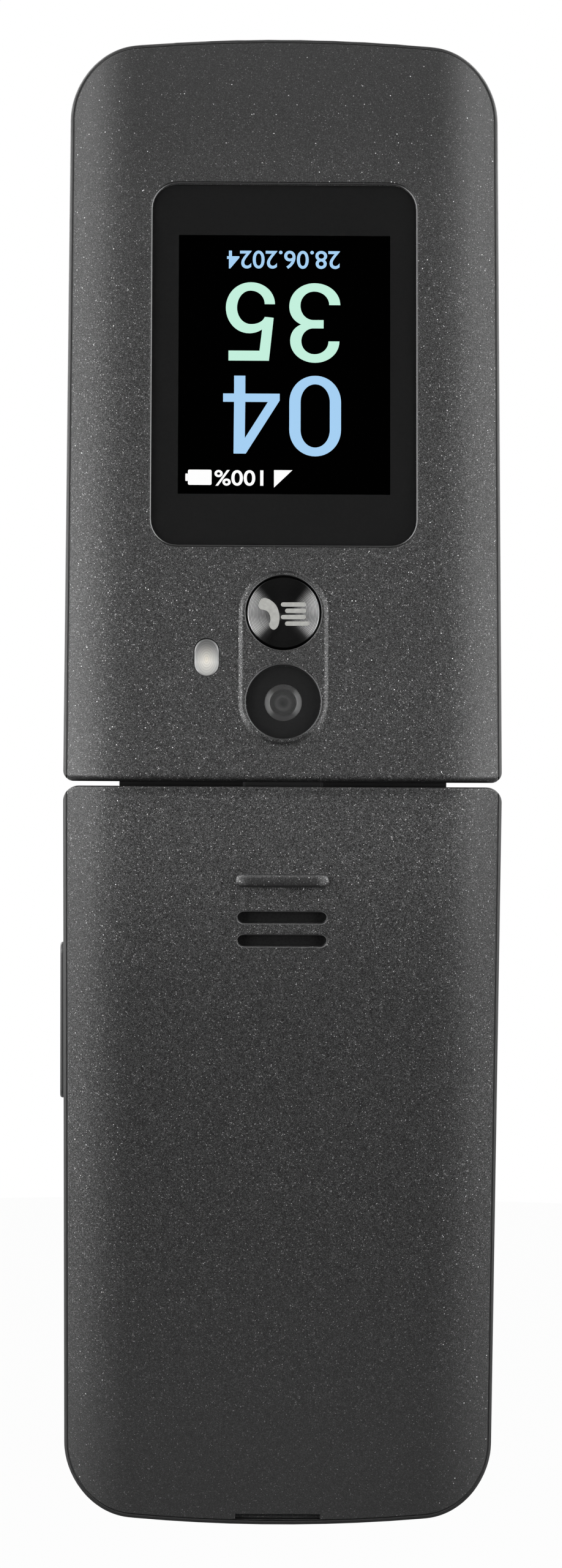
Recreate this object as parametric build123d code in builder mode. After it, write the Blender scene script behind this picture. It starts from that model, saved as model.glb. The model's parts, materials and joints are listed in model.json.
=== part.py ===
# Clamshell phone, open to its working angle and standing on the far end of its keypad half.
#
# Each half is modelled in a frame of its own, with the hinge axis along X through the
# origin: Y runs from the hinge axis to the far end of that half, and Z from the axis to
# its outer face. The base holds the keypad, the lid holds both displays. Both frames are
# then placed upright: +Z up, outer faces towards -Y, keypad and main display towards +Y.
# All lengths are millimetres.
from build123d import *
from collections import namedtuple
from math import asin, cos, radians, sin, sqrt
import os

# Both halves
WIDTH = 57.6
SIDE_TAPER = 0.35
SKIN = 9.4                 # hinge axis to either outer face
END_SETBACK = 1.35         # the outer faces run this far past the hinge axis
CROWN_FLAT = 19.0          # half width of the flat middle of an outer face
CROWN_RADIUS = 14.3        # the outer face curves down to each side at this radius
ARCH_RADIUS = 216.0        # bow of the far ends
FAR_CORNER = 9.5
COVER_WALL = 1.1
BAND = 0.42                # rim of the frame that shows round each cover
PARTING = 0.13
SEAT_GAP = 0.05
SIDE_WALL = 1.6
FACE_ROUND = 1.0           # round along the edge of the inner faces
COVER_ROUND = 0.2          # round along a cover's edge at the parting line
OPENING = 160.0            # angle between the halves as placed
LEAN = radians(180 - OPENING)

Half = namedtuple("Half", "length inner near_corner rim_round trough")
BASE = Half(length=98.5, inner=-0.45, near_corner=2.0, rim_round=0.3, trough=9.3)
LID = Half(length=99.0, inner=0.75, near_corner=1.4, rim_round=0.9, trough=8.85)

# Hinge barrel
BARREL = 8.0
BARREL_RELIEF = 8.25
BARREL_END = 21.4
CENTRE_END = 5.05          # half length of the base's middle knuckle
KNUCKLE_GAP = 0.1
SIDE_GAP = 0.15
PIN = 3.0
PIN_BORE = 2.3
RUNNING_GAP = 0.05
CAN = 3.15
CAN_BORE = 2.75
JOURNAL = 1.5
SPINDLE = 1.0
KEYED_END = 3.6
CAN_START = 5.3
CAN_END = 19.5
CAP = 6.7
CAP_DEPTH = 0.8

# Lid face, distances from the hinge axis
WINDOW = (35.0, 48.94)
WINDOW_Y = 54.64
WINDOW_CORNER = 3.5
WINDOW_SINK = 0.12
WINDOW_CHAMFER = 0.16
WINDOW_GLASS = 0.6
PLATEAU = (11.7, 23.4)
PLATEAU_Y = 15.18
PLATEAU_RISE = 0.45
PLATEAU_SLOPE = 45.0       # degrees off the vertical
PLATEAU_ROUND = 0.4        # round of its shoulder and of its foot
HOLE_ROUND = 0.1
QUICK_KEY_Y = 21.12
QUICK_KEY = 4.75
QUICK_HOLE = 5.0
CAMERA_Y = 9.25
LENS_WINDOW = 4.88
LENS_HOLE = 4.98
FLASH_AT = (-10.05, 15.18)
FLASH = (3.4, 5.1)

# Base face
BAR = (12.15, 1.75)
BAR_Y = 11.13
BAR_RISE = 0.6
BAR_ROUND = 0.45
SLOT = (11.7, 1.5)
SLOT_YS = (16.11, 19.19)
NOTCH = (11.3, 0.7)
NOTCH_INSET = 0.8

# Keypad, sizes are cap width and length
KEY_TOP = -0.5
KEY_TRAVEL = 0.3
KEY_FLANGE = 0.5
KEY_GAP = 0.2
KEY_ROUND = 0.3
COLUMN_PITCH = 17.0
ROW_PITCH = 10.4
FIRST_ROW = 53.0
DIGIT_KEY = (15.5, 8.6)
CALL_KEY = (15.5, 8.0)
CALL_ROW = 40.2
SOFT_KEY = (11.5, 17.0)
SOFT_KEY_AT = (19.3, 20.5)
NAV_Y = 22.5
NAV_OUTER = 11.5
NAV_INNER = 6.6
OK_RADIUS = 6.3
PANEL = (52.0, 81.6)       # sunk field that the keys stand in
PANEL_Y = 50.7
PANEL_SINK = 0.5

# Heights in the base, from the hinge axis
BEZEL_TOP = 1.1
FLANGE_LOW = 1.15
FLANGE_HIGH = 1.6
DOME_LOW = 2.0
SHEET_LOW = 2.25
BOARD_LOW = 2.4
BOARD_HIGH = 3.2
BAY_LOW = 4.3
BAY_HIGH = 4.9
BAY_START = 36.5
BAY_END = 83.0
BATTERY = (38.0, 45.0, 3.2)
BATTERY_Y = 59.5

# Volume key, on the base's +X side
VOLUME = (21.0, 2.6)       # length and height
VOLUME_AT = (31.3, 2.8)    # distance from the hinge and height of its middle
VOLUME_PROUD = 0.45

# Heights in the lid
PLATE_HIGH = 2.1
GLASS = (52.0, 77.0)
GLASS_Y = 50.5
GLASS_LOW = 0.9
GLASS_HIGH = 1.6
DISPLAY = (50.4, 67.4)
LID_BOARD_LOW = 3.6
LID_BOARD_HIGH = 4.4

BASE_SCREWS = ((25.2, 6.5), (25.2, 46.4), (21.0, 92.5))
TAB_ENDS = (27.3, 27.3, 25.8)
LID_SCREWS = ((25.0, 5.0), (20.8, 92.4))

# Small fittings
SCREW = 0.7
SCREW_HEAD = 1.3
BOSS = 1.4
BUMPER = 2.0
BUMPER_LOW = 0.63
BUMPER_HIGH = 1.1
HEAD_HIGH = 1.7
LID_SCREW_TIP = 5.2
MIC_AT = (10.0, 93.3)
USB = (8.94, 3.26)
USB_AT = (0.0, 4.35)       # middle of the socket, across and above the hinge axis
USB_DEPTH = 7.3
JACK = (6.0, 5.0)
JACK_AT = (-15.0, 5.0)
JACK_NOSE = 2.4
JACK_BORE = 1.8
JACK_DEPTH = 13.5
JACK_BLOCK = 13.0
EARPIECE_Y = 93.6
CAMERA_BARREL = 2.45
LENS_RADIUS = 1.78
LENS_SEAT = 8.95
QUICK_STEM = 7.3
PANEL_FLOOR = BASE.inner + PANEL_SINK
NAV_CAP_HIGH = 0.6
NAV_FOOT = 1.7
NAV_SKIRT = 8.9
FLANGE_X = 26.0            # inner face of the volume key's flange
END_WALL = 2.1             # the room inside starts here at the hinge end
TROUGH_END = BARREL_END + 1.4

# Hinge unit, distances along the axis
SOCKET_WEB = 0.8           # half of the web between the two sockets of the middle knuckle
CAM = 2.6
CAM_START = 6.5
CAM_END = 8.0
FOLLOWER_END = 9.6
PIN_END = 17.0
FLEX = 1.9
SPRING_WIRE = 0.3
SPRING_RADIUS = 2.0
SPRING_TURNS = 6

# Room beyond the model for cutting tools
OVERRUN = 10.0
BEYOND = 110.0

END_PLANE = Plane(
    origin=(0, -END_SETBACK, SKIN), z_dir=(0, cos(LEAN / 2), sin(LEAN / 2))
)


def side_x(y, inset=0.0):
    """Half width at a distance from the hinge: the sides close in slightly."""
    return WIDTH / 2 - SIDE_TAPER * y / BASE.length - inset


def outline(half, inset=0.0, near_end=-OVERRUN):
    """Plan of one half, drawn in from its edge by inset and starting at near_end."""
    tip = half.length - inset
    arch = ARCH_RADIUS - inset
    far_x = side_x(half.length, inset)
    near_x = side_x(near_end, inset)
    shoulder = tip - arch + sqrt(arch**2 - far_x**2)
    with BuildSketch() as plan:
        with BuildLine():
            Line((-near_x, near_end), (near_x, near_end))
            Line((near_x, near_end), (far_x, shoulder))
            ThreePointArc((far_x, shoulder), (0, tip), (-far_x, shoulder))
            Line((-far_x, shoulder), (-near_x, near_end))
        make_face()
        fillet(plan.vertices().group_by(Axis.Y)[-1], FAR_CORNER - inset)
    return plan.sketch


def under_crown(below=0.0):
    """Everything under the outer skin lowered by below, as one long bar."""
    top = SKIN - below
    bend = CROWN_RADIUS - below
    reach = WIDTH / 2 + 1
    turn = asin((reach - CROWN_FLAT) / bend)
    edge = top - bend * (1 - cos(turn))
    mid_x = CROWN_FLAT + bend * sin(turn / 2)
    mid_z = top - bend * (1 - cos(turn / 2))
    with BuildPart() as bar:
        with BuildSketch(Plane.XZ.offset(-BEYOND)):
            with BuildLine():
                Line((-CROWN_FLAT, top), (CROWN_FLAT, top))
                ThreePointArc((CROWN_FLAT, top), (mid_x, mid_z), (reach, edge))
                Polyline((reach, edge), (reach, -OVERRUN), (-reach, -OVERRUN), (-reach, edge))
                ThreePointArc((-reach, edge), (-mid_x, mid_z), (-CROWN_FLAT, top))
            make_face()
        extrude(amount=BEYOND + OVERRUN)
    return bar.part


def raised(sketch, low, high, mode=Mode.ADD):
    """Extrude a plan sketch between two heights in the part being built."""
    extrude(sketch.moved(Location((0, 0, low))), amount=high - low, mode=mode)


def rectangle(size, at=(0, 0), corner=0.0):
    """Plan rectangle with rounded corners."""
    with BuildSketch() as plan:
        with Locations(at):
            if corner:
                RectangleRounded(*size, corner)
            else:
                Rectangle(*size)
    return plan.sketch


def ring(outer, at=(0, 0), inner=0.0):
    """Plan circle, or a ring where an inner radius is given."""
    with BuildSketch() as plan:
        with Locations(at):
            Circle(outer)
            if inner:
                Circle(inner, mode=Mode.SUBTRACT)
    return plan.sketch


def rod(radius, start, end, bore=0.0):
    """Round bar along the hinge axis, or a tube where a bore is given."""
    with BuildPart() as bar:
        with BuildSketch(Plane.YZ.offset(start)):
            Circle(radius)
            if bore:
                Circle(bore, mode=Mode.SUBTRACT)
        extrude(amount=end - start)
    return bar.part


def envelope(half):
    """Outer body of one half, from which its shells are cut."""
    with BuildPart() as body:
        raised(outline(half), half.inner, SKIN)
        add(under_crown(), mode=Mode.INTERSECT)
        split(bisect_by=END_PLANE, keep=Keep.TOP)
        near = body.edges().filter_by(lambda edge: edge.center().Y < 2)
        fillet(near.filter_by(lambda edge: abs(edge.tangent_at(0.5).Z) > 0.9), half.near_corner)
        fillet(body.edges().group_by(Axis.Z)[0], FACE_ROUND)
        top = body.edges().filter_by(lambda edge: edge.center().Y < 0)
        # The rim is one smooth run of edges, so its round follows it all the way.
        fillet(top.filter_by(lambda edge: edge.center().Z > SKIN - 0.01), half.rim_round)
    return body.part


def skin_border(plate):
    """Edges round the outward-facing skin of a cover, apart from its hinge end."""
    skin = plate.faces().filter_by(lambda face: face.normal_at().Z > 0.5)
    edges = [edge for face in skin for edge in face.edges() if edge.center().Y > END_WALL]
    return [edge for edge in edges if sum(edge.is_same(other) for other in edges) == 1]


def cover_blank(half, body):
    """Curved cover plate of one half, set inside the rim of its frame."""
    with BuildPart() as plate:
        raised(outline(half, BAND + PARTING), 0, SKIN + 1)
        add(body, mode=Mode.INTERSECT)
        add(under_crown(COVER_WALL), mode=Mode.SUBTRACT)
        fillet(skin_border(plate), COVER_ROUND)
        add(rod(BARREL_RELIEF, -BARREL_END - SIDE_GAP, BARREL_END + SIDE_GAP), mode=Mode.SUBTRACT)
    return plate.part


def at_skin(cover):
    """Edges of the last cut that lie in the flat of the outer face."""
    return cover.edges(Select.LAST).filter_by_position(Axis.Z, SKIN - 0.01, SKIN + 0.01)


def cover_seat(half):
    """Space above the frame's ledge, inside its rim, that the cover fills."""
    with BuildPart() as space:
        raised(outline(half, BAND), 0, SKIN + 1)
        add(under_crown(COVER_WALL + SEAT_GAP), mode=Mode.SUBTRACT)
    return space.part


def pocket(half, low, high):
    """Room inside the side walls, clear of the trough wall round the barrel."""
    with BuildPart() as space:
        raised(outline(half, SIDE_WALL, END_WALL), low, high)
        add(rod(half.trough, -TROUGH_END, TROUGH_END), mode=Mode.SUBTRACT)
    return space.part


def mirrored(points):
    """Each point and its mirror image across the middle of the phone."""
    return [(side * x, y) for x, y in points for side in (-1, 1)]


# ---- base: shells ----


def make_base_frame(body):
    """Rear case: side walls, battery bay, trough for the barrel and the middle knuckle."""
    relief_end = BARREL_END + SIDE_GAP
    bay_x = BATTERY[0] / 2 + 1.0
    bay_wall = side_x(BAY_END, SIDE_WALL - 0.1)
    bay_middle = (BAY_START + BAY_END) / 2
    with BuildPart() as frame:
        raised(outline(BASE), BEZEL_TOP, SKIN)
        add(body, mode=Mode.INTERSECT)
        add(cover_seat(BASE), mode=Mode.SUBTRACT)
        add(pocket(BASE, BEZEL_TOP, SKIN), mode=Mode.SUBTRACT)
        raised(rectangle((2 * bay_wall, BAY_END - BAY_START), (0, bay_middle)), BAY_LOW, BAY_HIGH)
        for side in (-1, 1):
            raised(rectangle((0.8, BATTERY[1]), (side * bay_x, BATTERY_Y)), BAY_HIGH, 7.6)
            raised(rectangle((0.8, 30.0), (side * bay_x, BATTERY_Y + 4)), BOARD_HIGH, BAY_LOW)
        for (x, y), tab_end in zip(BASE_SCREWS, TAB_ENDS):
            for side in (-1, 1):
                tab = (tab_end - x + BOSS, 2 * BOSS)
                middle = side * (tab_end + x - BOSS) / 2
                raised(rectangle(tab, (middle, y)), BAY_LOW, BAY_HIGH)
        for x, y in mirrored(BASE_SCREWS):
            raised(ring(SCREW, (x, y)), BEZEL_TOP, BAY_HIGH, Mode.SUBTRACT)
        add(rod(BARREL_RELIEF, CENTRE_END, relief_end), mode=Mode.SUBTRACT)
        add(rod(BARREL_RELIEF, -relief_end, -CENTRE_END), mode=Mode.SUBTRACT)
        add(rod(BARREL, -CENTRE_END, CENTRE_END))
        add(rod(PIN, -CENTRE_END, -SOCKET_WEB), mode=Mode.SUBTRACT)
        add(keyed_bar(SOCKET_WEB, CENTRE_END), mode=Mode.SUBTRACT)
        with BuildSketch(Plane.YZ.offset(WIDTH / 2 - 2)) as slot:
            with Locations(VOLUME_AT):
                RectangleRounded(VOLUME[0] + 0.4, VOLUME[1] + 0.4, 1.4)
        extrude(slot.sketch, amount=3, mode=Mode.SUBTRACT)
        with BuildSketch(Plane.XZ.offset(-BEYOND)) as ports:
            with Locations(USB_AT):
                RectangleRounded(USB[0] + 0.2, USB[1] + 0.2, 1.6)
            with Locations(JACK_AT):
                Circle(JACK_NOSE + 0.05)
        extrude(ports.sketch, amount=BEYOND - BASE.length + 3, mode=Mode.SUBTRACT)
    return frame.part


def keyed_bar(start, end):
    """Square end of the hinge shaft, along the hinge axis."""
    with BuildPart() as bar:
        with BuildSketch(Plane.YZ.offset(start)):
            Rectangle(KEYED_END, KEYED_END)
        extrude(amount=end - start)
    return bar.part


def make_keypad_bezel(body):
    """Front case of the base: the face that the keys stand in."""
    with BuildPart() as bezel:
        raised(outline(BASE), BASE.inner, BEZEL_TOP)
        add(body, mode=Mode.INTERSECT)
        add(rod(BARREL_RELIEF, -BARREL_END - SIDE_GAP, BARREL_END + SIDE_GAP), mode=Mode.SUBTRACT)
        raised(rectangle(PANEL, (0, PANEL_Y), 4.0), BASE.inner, PANEL_FLOOR, Mode.SUBTRACT)
        for at, size, corner in key_places().values():
            hole = (size[0] + 2 * KEY_GAP, size[1] + 2 * KEY_GAP)
            raised(rectangle(hole, at, corner + KEY_GAP), BASE.inner, BEZEL_TOP, Mode.SUBTRACT)
        raised(ring(NAV_OUTER + KEY_GAP, (0, NAV_Y)), BASE.inner, BEZEL_TOP, Mode.SUBTRACT)
        raised(ring(0.5, MIC_AT), BASE.inner, BEZEL_TOP, Mode.SUBTRACT)
        for at in mirrored(BASE_SCREWS):
            raised(ring(BOSS, at, SCREW), BEZEL_TOP, BAY_LOW)
    return bezel.part


def make_back_cover(body):
    """Battery cover with a raised bar, two speaker slots and a fingernail notch."""
    with BuildPart() as cover:
        add(cover_blank(BASE, body))
        with BuildSketch() as bar:
            with Locations((0, BAR_Y)):
                SlotOverall(*BAR)
        extrude(bar.sketch.moved(Location((0, 0, SKIN))), amount=BAR_RISE)
        fillet(cover.edges().group_by(Axis.Z)[-1], BAR_ROUND)
        for slot_y in SLOT_YS:
            with BuildSketch() as slot:
                with Locations((0, slot_y)):
                    SlotOverall(*SLOT)
            raised(slot.sketch, SKIN - 2 * COVER_WALL, SKIN, Mode.SUBTRACT)
            fillet(at_skin(cover), COVER_ROUND)
        notch_y = BASE.length - NOTCH_INSET - NOTCH[1] / 2
        raised(rectangle(NOTCH, (0, notch_y)), SKIN - 0.8, SKIN, Mode.SUBTRACT)
    return cover.part


def make_speaker_mesh():
    """Dust mesh glued behind the speaker slots."""
    middle = sum(SLOT_YS) / 2
    with BuildPart() as mesh:
        raised(rectangle((13.6, 6.8), (0, middle), 0.8), SKIN - COVER_WALL - 0.15, SKIN - COVER_WALL)
    return mesh.part


# ---- base: keys ----


def key_places():
    """Middle, size and corner radius of every plain key, by name."""
    places = {}
    rows = (("1", "2", "3"), ("4", "5", "6"), ("7", "8", "9"), ("star", "0", "hash"))
    for row, names in enumerate(rows):
        for column, name in enumerate(names):
            at = (COLUMN_PITCH * (column - 1), FIRST_ROW + ROW_PITCH * row)
            places["key_" + name] = (at, DIGIT_KEY, 1.6)
    for column, name in enumerate(("send_key", "clear_key", "end_key")):
        places[name] = ((COLUMN_PITCH * (column - 1), CALL_ROW), CALL_KEY, 1.6)
    for side, name in ((-1, "soft_key_left"), (1, "soft_key_right")):
        places[name] = ((side * SOFT_KEY_AT[0], SOFT_KEY_AT[1]), SOFT_KEY, 2.4)
    return places


def make_key(at, size, corner):
    """Key cap over a wider flange that holds it in the bezel."""
    wide = (size[0] + 2 * KEY_FLANGE, size[1] + 2 * KEY_FLANGE)
    with BuildPart() as key:
        raised(rectangle(size, at, corner), KEY_TOP, FLANGE_LOW)
        fillet(key.faces().sort_by(Axis.Z)[0].edges(), KEY_ROUND)
        raised(rectangle(wide, at, corner + KEY_FLANGE), FLANGE_LOW, FLANGE_HIGH)
    return key.part


def make_ok_key():
    """Round key in the middle of the navigation ring."""
    with BuildPart() as key:
        raised(ring(OK_RADIUS, (0, NAV_Y)), KEY_TOP, FLANGE_HIGH)
        fillet(key.faces().sort_by(Axis.Z)[0].edges(), KEY_ROUND)
        raised(ring(OK_RADIUS + 0.45, (0, NAV_Y)), FLANGE_LOW + 0.15, FLANGE_HIGH)
    return key.part


def make_nav_ring():
    """Four-way ring: a cap with a skirt that reaches down to its domes."""
    at = (0, NAV_Y)
    with BuildPart() as nav:
        raised(ring(NAV_OUTER, at, NAV_INNER), KEY_TOP, NAV_CAP_HIGH)
        fillet(nav.faces().sort_by(Axis.Z)[0].edges(), KEY_ROUND)
        raised(ring(NAV_OUTER, at, NAV_SKIRT), NAV_CAP_HIGH, NAV_FOOT)
        raised(ring(NAV_OUTER + 0.6, at, NAV_SKIRT), NAV_FOOT - 0.3, NAV_FOOT)
    return nav.part


def make_nav_rocker():
    """Inner rocking ring that lets the navigation ring tip both ways."""
    with BuildPart() as rocker:
        raised(ring(NAV_SKIRT - 0.3, (0, NAV_Y), OK_RADIUS + 0.75), NAV_CAP_HIGH + 0.3, 1.9)
    return rocker.part


def make_volume_key():
    """Long rocker key on the side of the base, with its inner flange."""
    middle_y, middle_z = VOLUME_AT
    proud_x = side_x(middle_y) + VOLUME_PROUD
    with BuildPart() as key:
        with BuildSketch(Plane.YZ.offset(FLANGE_X)) as cap:
            with Locations(VOLUME_AT):
                RectangleRounded(*VOLUME, VOLUME[1] / 2 - 0.05)
        extrude(cap.sketch, amount=proud_x - FLANGE_X)
        fillet(key.faces().sort_by(Axis.X)[-1].edges(), 0.35)
        with BuildSketch(Plane.YZ.offset(FLANGE_X)) as flange:
            with Locations(VOLUME_AT):
                RectangleRounded(VOLUME[0] + 1.2, VOLUME[1] + 0.3, 1.0)
        extrude(flange.sketch, amount=0.5)
    return key.part


# ---- base: inside ----


def make_dome_sheet():
    """Film of snap domes under the keys."""
    nav_domes = [(10 * x, NAV_Y + 10 * y) for x, y in ((1, 0), (-1, 0), (0, 1), (0, -1))]
    with BuildPart() as sheet:
        raised(rectangle((45.6, 79.4), (0, 50.1), 2.0), SHEET_LOW, BOARD_LOW)
        for at, size, corner in key_places().values():
            raised(ring(2.5, at), DOME_LOW, SHEET_LOW)
        raised(ring(2.5, (0, NAV_Y)), DOME_LOW, SHEET_LOW)
        for at in nav_domes:
            raised(ring(1.4, at), DOME_LOW + 0.1, SHEET_LOW)
    return sheet.part


def make_main_board():
    """Main circuit board with its shield can, notched round both ports."""
    with BuildPart() as board:
        raised(rectangle((46.4, 85.4), (0, 52.3), 6.0), BOARD_LOW, BOARD_HIGH)
        raised(rectangle((30.0, 22.0), (0, 56.0), 1.0), BOARD_HIGH, BAY_LOW - 0.1)
        raised(rectangle((USB[0] + 0.6, 10), (USB_AT[0], 95.7)), BOARD_LOW, BOARD_HIGH, Mode.SUBTRACT)
        raised(rectangle((JACK[0] + 0.6, 20), (JACK_AT[0], 92.9)), BOARD_LOW, BOARD_HIGH, Mode.SUBTRACT)
        for at in mirrored(BASE_SCREWS[-1:]):
            raised(ring(BOSS + 0.3, at), BOARD_LOW, BOARD_HIGH, Mode.SUBTRACT)
    return board.part


def make_battery():
    """Flat removable battery."""
    with BuildPart() as battery:
        raised(rectangle(BATTERY[:2], (0, BATTERY_Y), 1.5), BAY_HIGH, BAY_HIGH + BATTERY[2])
        fillet(battery.faces().sort_by(Axis.Z)[-1].edges(), 0.4)
    return battery.part


def make_battery_contacts():
    """Contact block with three sprung blades against the battery's end."""
    battery_end = BATTERY_Y - BATTERY[1] / 2
    block_end = battery_end - 0.6
    with BuildPart() as block:
        raised(rectangle((10.0, 2.6), (0, block_end - 1.3)), BOARD_HIGH, 6.4)
        for x in (-2.8, 0, 2.8):
            raised(rectangle((1.0, 0.6), (x, battery_end - 0.3)), 5.3, 6.1)
    return block.part


def make_loudspeaker():
    """Boxed loudspeaker behind the speaker slots."""
    with BuildPart() as speaker:
        raised(rectangle((17.0, 12.6), (0, 17.9), 2.0), BOARD_HIGH, 7.4)
        raised(rectangle((14.0, 9.6), (0, 17.9), 2.0), 7.4, 7.8)
    return speaker.part


def make_card_reader():
    """SIM and memory card holder on the board."""
    with BuildPart() as reader:
        raised(rectangle((17.0, 8.4), (0, 28.8), 0.6), BOARD_HIGH, 4.7)
        raised(rectangle((12.4, 6.0), (0, 30.0)), 3.5, 4.3, Mode.SUBTRACT)
    return reader.part


def make_vibration_motor():
    """Coin vibration motor."""
    with BuildPart() as motor:
        raised(ring(4.0, (16.0, 17.5)), BOARD_HIGH, 6.0)
        fillet(motor.faces().sort_by(Axis.Z)[-1].edges(), 0.4)
    return motor.part


def make_microphone():
    """Microphone under the board, behind its hole in the bezel."""
    with BuildPart() as microphone:
        raised(rectangle((3.0, 2.2), MIC_AT), BEZEL_TOP + 0.1, BOARD_LOW)
    return microphone.part


def make_usb_connector():
    """USB-C receptacle: a tube with a tongue in it."""
    start = BASE.length - 0.3 - USB_DEPTH
    with BuildPart() as usb:
        with BuildSketch(Plane.XZ.offset(-start)) as shell:
            with Locations(USB_AT):
                RectangleRounded(*USB, USB[1] / 2 - 0.05)
        extrude(shell.sketch, amount=-USB_DEPTH)
        with BuildSketch(Plane.XZ.offset(-start - 1.0)) as mouth:
            with Locations(USB_AT):
                RectangleRounded(USB[0] - 0.6, USB[1] - 0.6, USB[1] / 2 - 0.35)
        extrude(mouth.sketch, amount=-USB_DEPTH, mode=Mode.SUBTRACT)
        with BuildSketch(Plane.XZ.offset(-start - 1.0)) as tongue:
            with Locations(USB_AT):
                Rectangle(6.7, 0.7)
        extrude(tongue.sketch, amount=-4.6)
    return usb.part


def make_headphone_jack():
    """3.5 mm socket: a block with a round nose and the plug bore."""
    nose_end = BASE.length - 0.55
    body_end = BASE.length - SIDE_WALL - 0.8
    with BuildPart() as jack:
        with BuildSketch(Plane.XZ.offset(-body_end)) as block:
            with Locations(JACK_AT):
                Rectangle(*JACK)
        extrude(block.sketch, amount=JACK_BLOCK)
        with BuildSketch(Plane.XZ.offset(-nose_end)) as nose:
            with Locations(JACK_AT):
                Circle(JACK_NOSE)
        extrude(nose.sketch, amount=nose_end - body_end)
        with BuildSketch(Plane.XZ.offset(-nose_end)) as bore:
            with Locations(JACK_AT):
                Circle(JACK_BORE)
        extrude(bore.sketch, amount=JACK_DEPTH, mode=Mode.SUBTRACT)
    return jack.part


def make_volume_switches():
    """Two side switches on a strip that hangs from the board's edge."""
    middle_y = VOLUME_AT[0]
    with BuildPart() as switches:
        raised(rectangle((0.4, 17.6), (25.1, middle_y)), BOARD_LOW, 4.1)
        raised(rectangle((1.9, 4.0), (24.15, middle_y)), BOARD_LOW, BOARD_HIGH)
        for side in (-1, 1):
            raised(rectangle((0.4, 4.0), (25.5, middle_y + side * 6.75)), BOARD_LOW + 0.1, 4.0)
    return switches.part


def make_screws(places, head_low, head_high, tip, drive_side):
    """Pan-head screws; drive_side is +1 where the head faces outwards and -1 inwards."""
    with BuildPart() as screws:
        for at in mirrored(places):
            raised(ring(SCREW_HEAD, at), head_low, head_high)
            shank = (tip, head_low) if drive_side > 0 else (head_high, tip)
            raised(ring(SCREW, at), *shank)
            drive = head_high if drive_side > 0 else head_low
            for turn in (0, 90):
                with BuildSketch(Plane.XY.offset(drive)) as cross:
                    with Locations(Location((*at, 0), (0, 0, turn))):
                        Rectangle(1.4, 0.3)
                extrude(cross.sketch, amount=-0.3 * drive_side, mode=Mode.SUBTRACT)
    return screws.part


# ---- hinge ----


def make_hinge_shaft():
    """Keyed shaft with its cam head and spindle, turning inside the hinge can."""
    with BuildPart() as shaft:
        add(keyed_bar(SOCKET_WEB, CENTRE_END))
        add(rod(JOURNAL, CENTRE_END, CAM_START))
        add(rod(CAM, CAM_START, CAM_END))
        add(rod(SPINDLE, CAM_END, CAN_END - 1.2))
    return shaft.part


def make_hinge_pin():
    """Hollow pin through the middle knuckle that the lid's other knuckle turns on."""
    with BuildPart() as pin:
        add(rod(PIN, -PIN_END, -SOCKET_WEB, PIN_BORE))
    return pin.part


def make_hinge_flex():
    """Rolled ribbon cable inside the hollow pin."""
    with BuildPart() as flex:
        add(rod(FLEX, -PIN_END - 1.5, -SOCKET_WEB - 0.4, FLEX - 0.7))
    return flex.part


def make_hinge_can():
    """Housing of the spring hinge, fixed in the lid's knuckle."""
    with BuildPart() as can:
        add(rod(CAN, -CAN_END, -CAN_START))
        add(rod(CAN_BORE, -CAN_END + 0.6, -CAM_START + 0.2), mode=Mode.SUBTRACT)
        add(rod(JOURNAL + RUNNING_GAP, -CAM_START, -CAN_START), mode=Mode.SUBTRACT)
    return can.part


def make_hinge_follower():
    """Disc that the spring presses towards the cam head."""
    with BuildPart() as follower:
        add(rod(CAN_BORE, -FOLLOWER_END, -CAM_END - 0.1, SPINDLE + RUNNING_GAP))
    return follower.part


def make_hinge_spring():
    """Compression spring round the spindle."""
    length = CAN_END - 0.6 - FOLLOWER_END - 2 * SPRING_WIRE
    with BuildPart() as spring:
        with BuildLine() as coil:
            Helix(length / SPRING_TURNS, length, SPRING_RADIUS)
        with BuildSketch(Plane(origin=coil.line @ 0, z_dir=coil.line % 0)):
            Circle(SPRING_WIRE)
        sweep()
    along = Plane(origin=(-FOLLOWER_END - SPRING_WIRE, 0, 0), x_dir=(0, 1, 0), z_dir=(-1, 0, 0))
    return along.location * spring.part


def make_hinge_caps():
    """Discs that close the outer ends of the lid's knuckles."""
    with BuildPart() as caps:
        add(rod(CAP, BARREL_END - CAP_DEPTH, BARREL_END))
        add(rod(CAP, -BARREL_END, -BARREL_END + CAP_DEPTH))
    return caps.part


# ---- lid: shells ----


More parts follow.
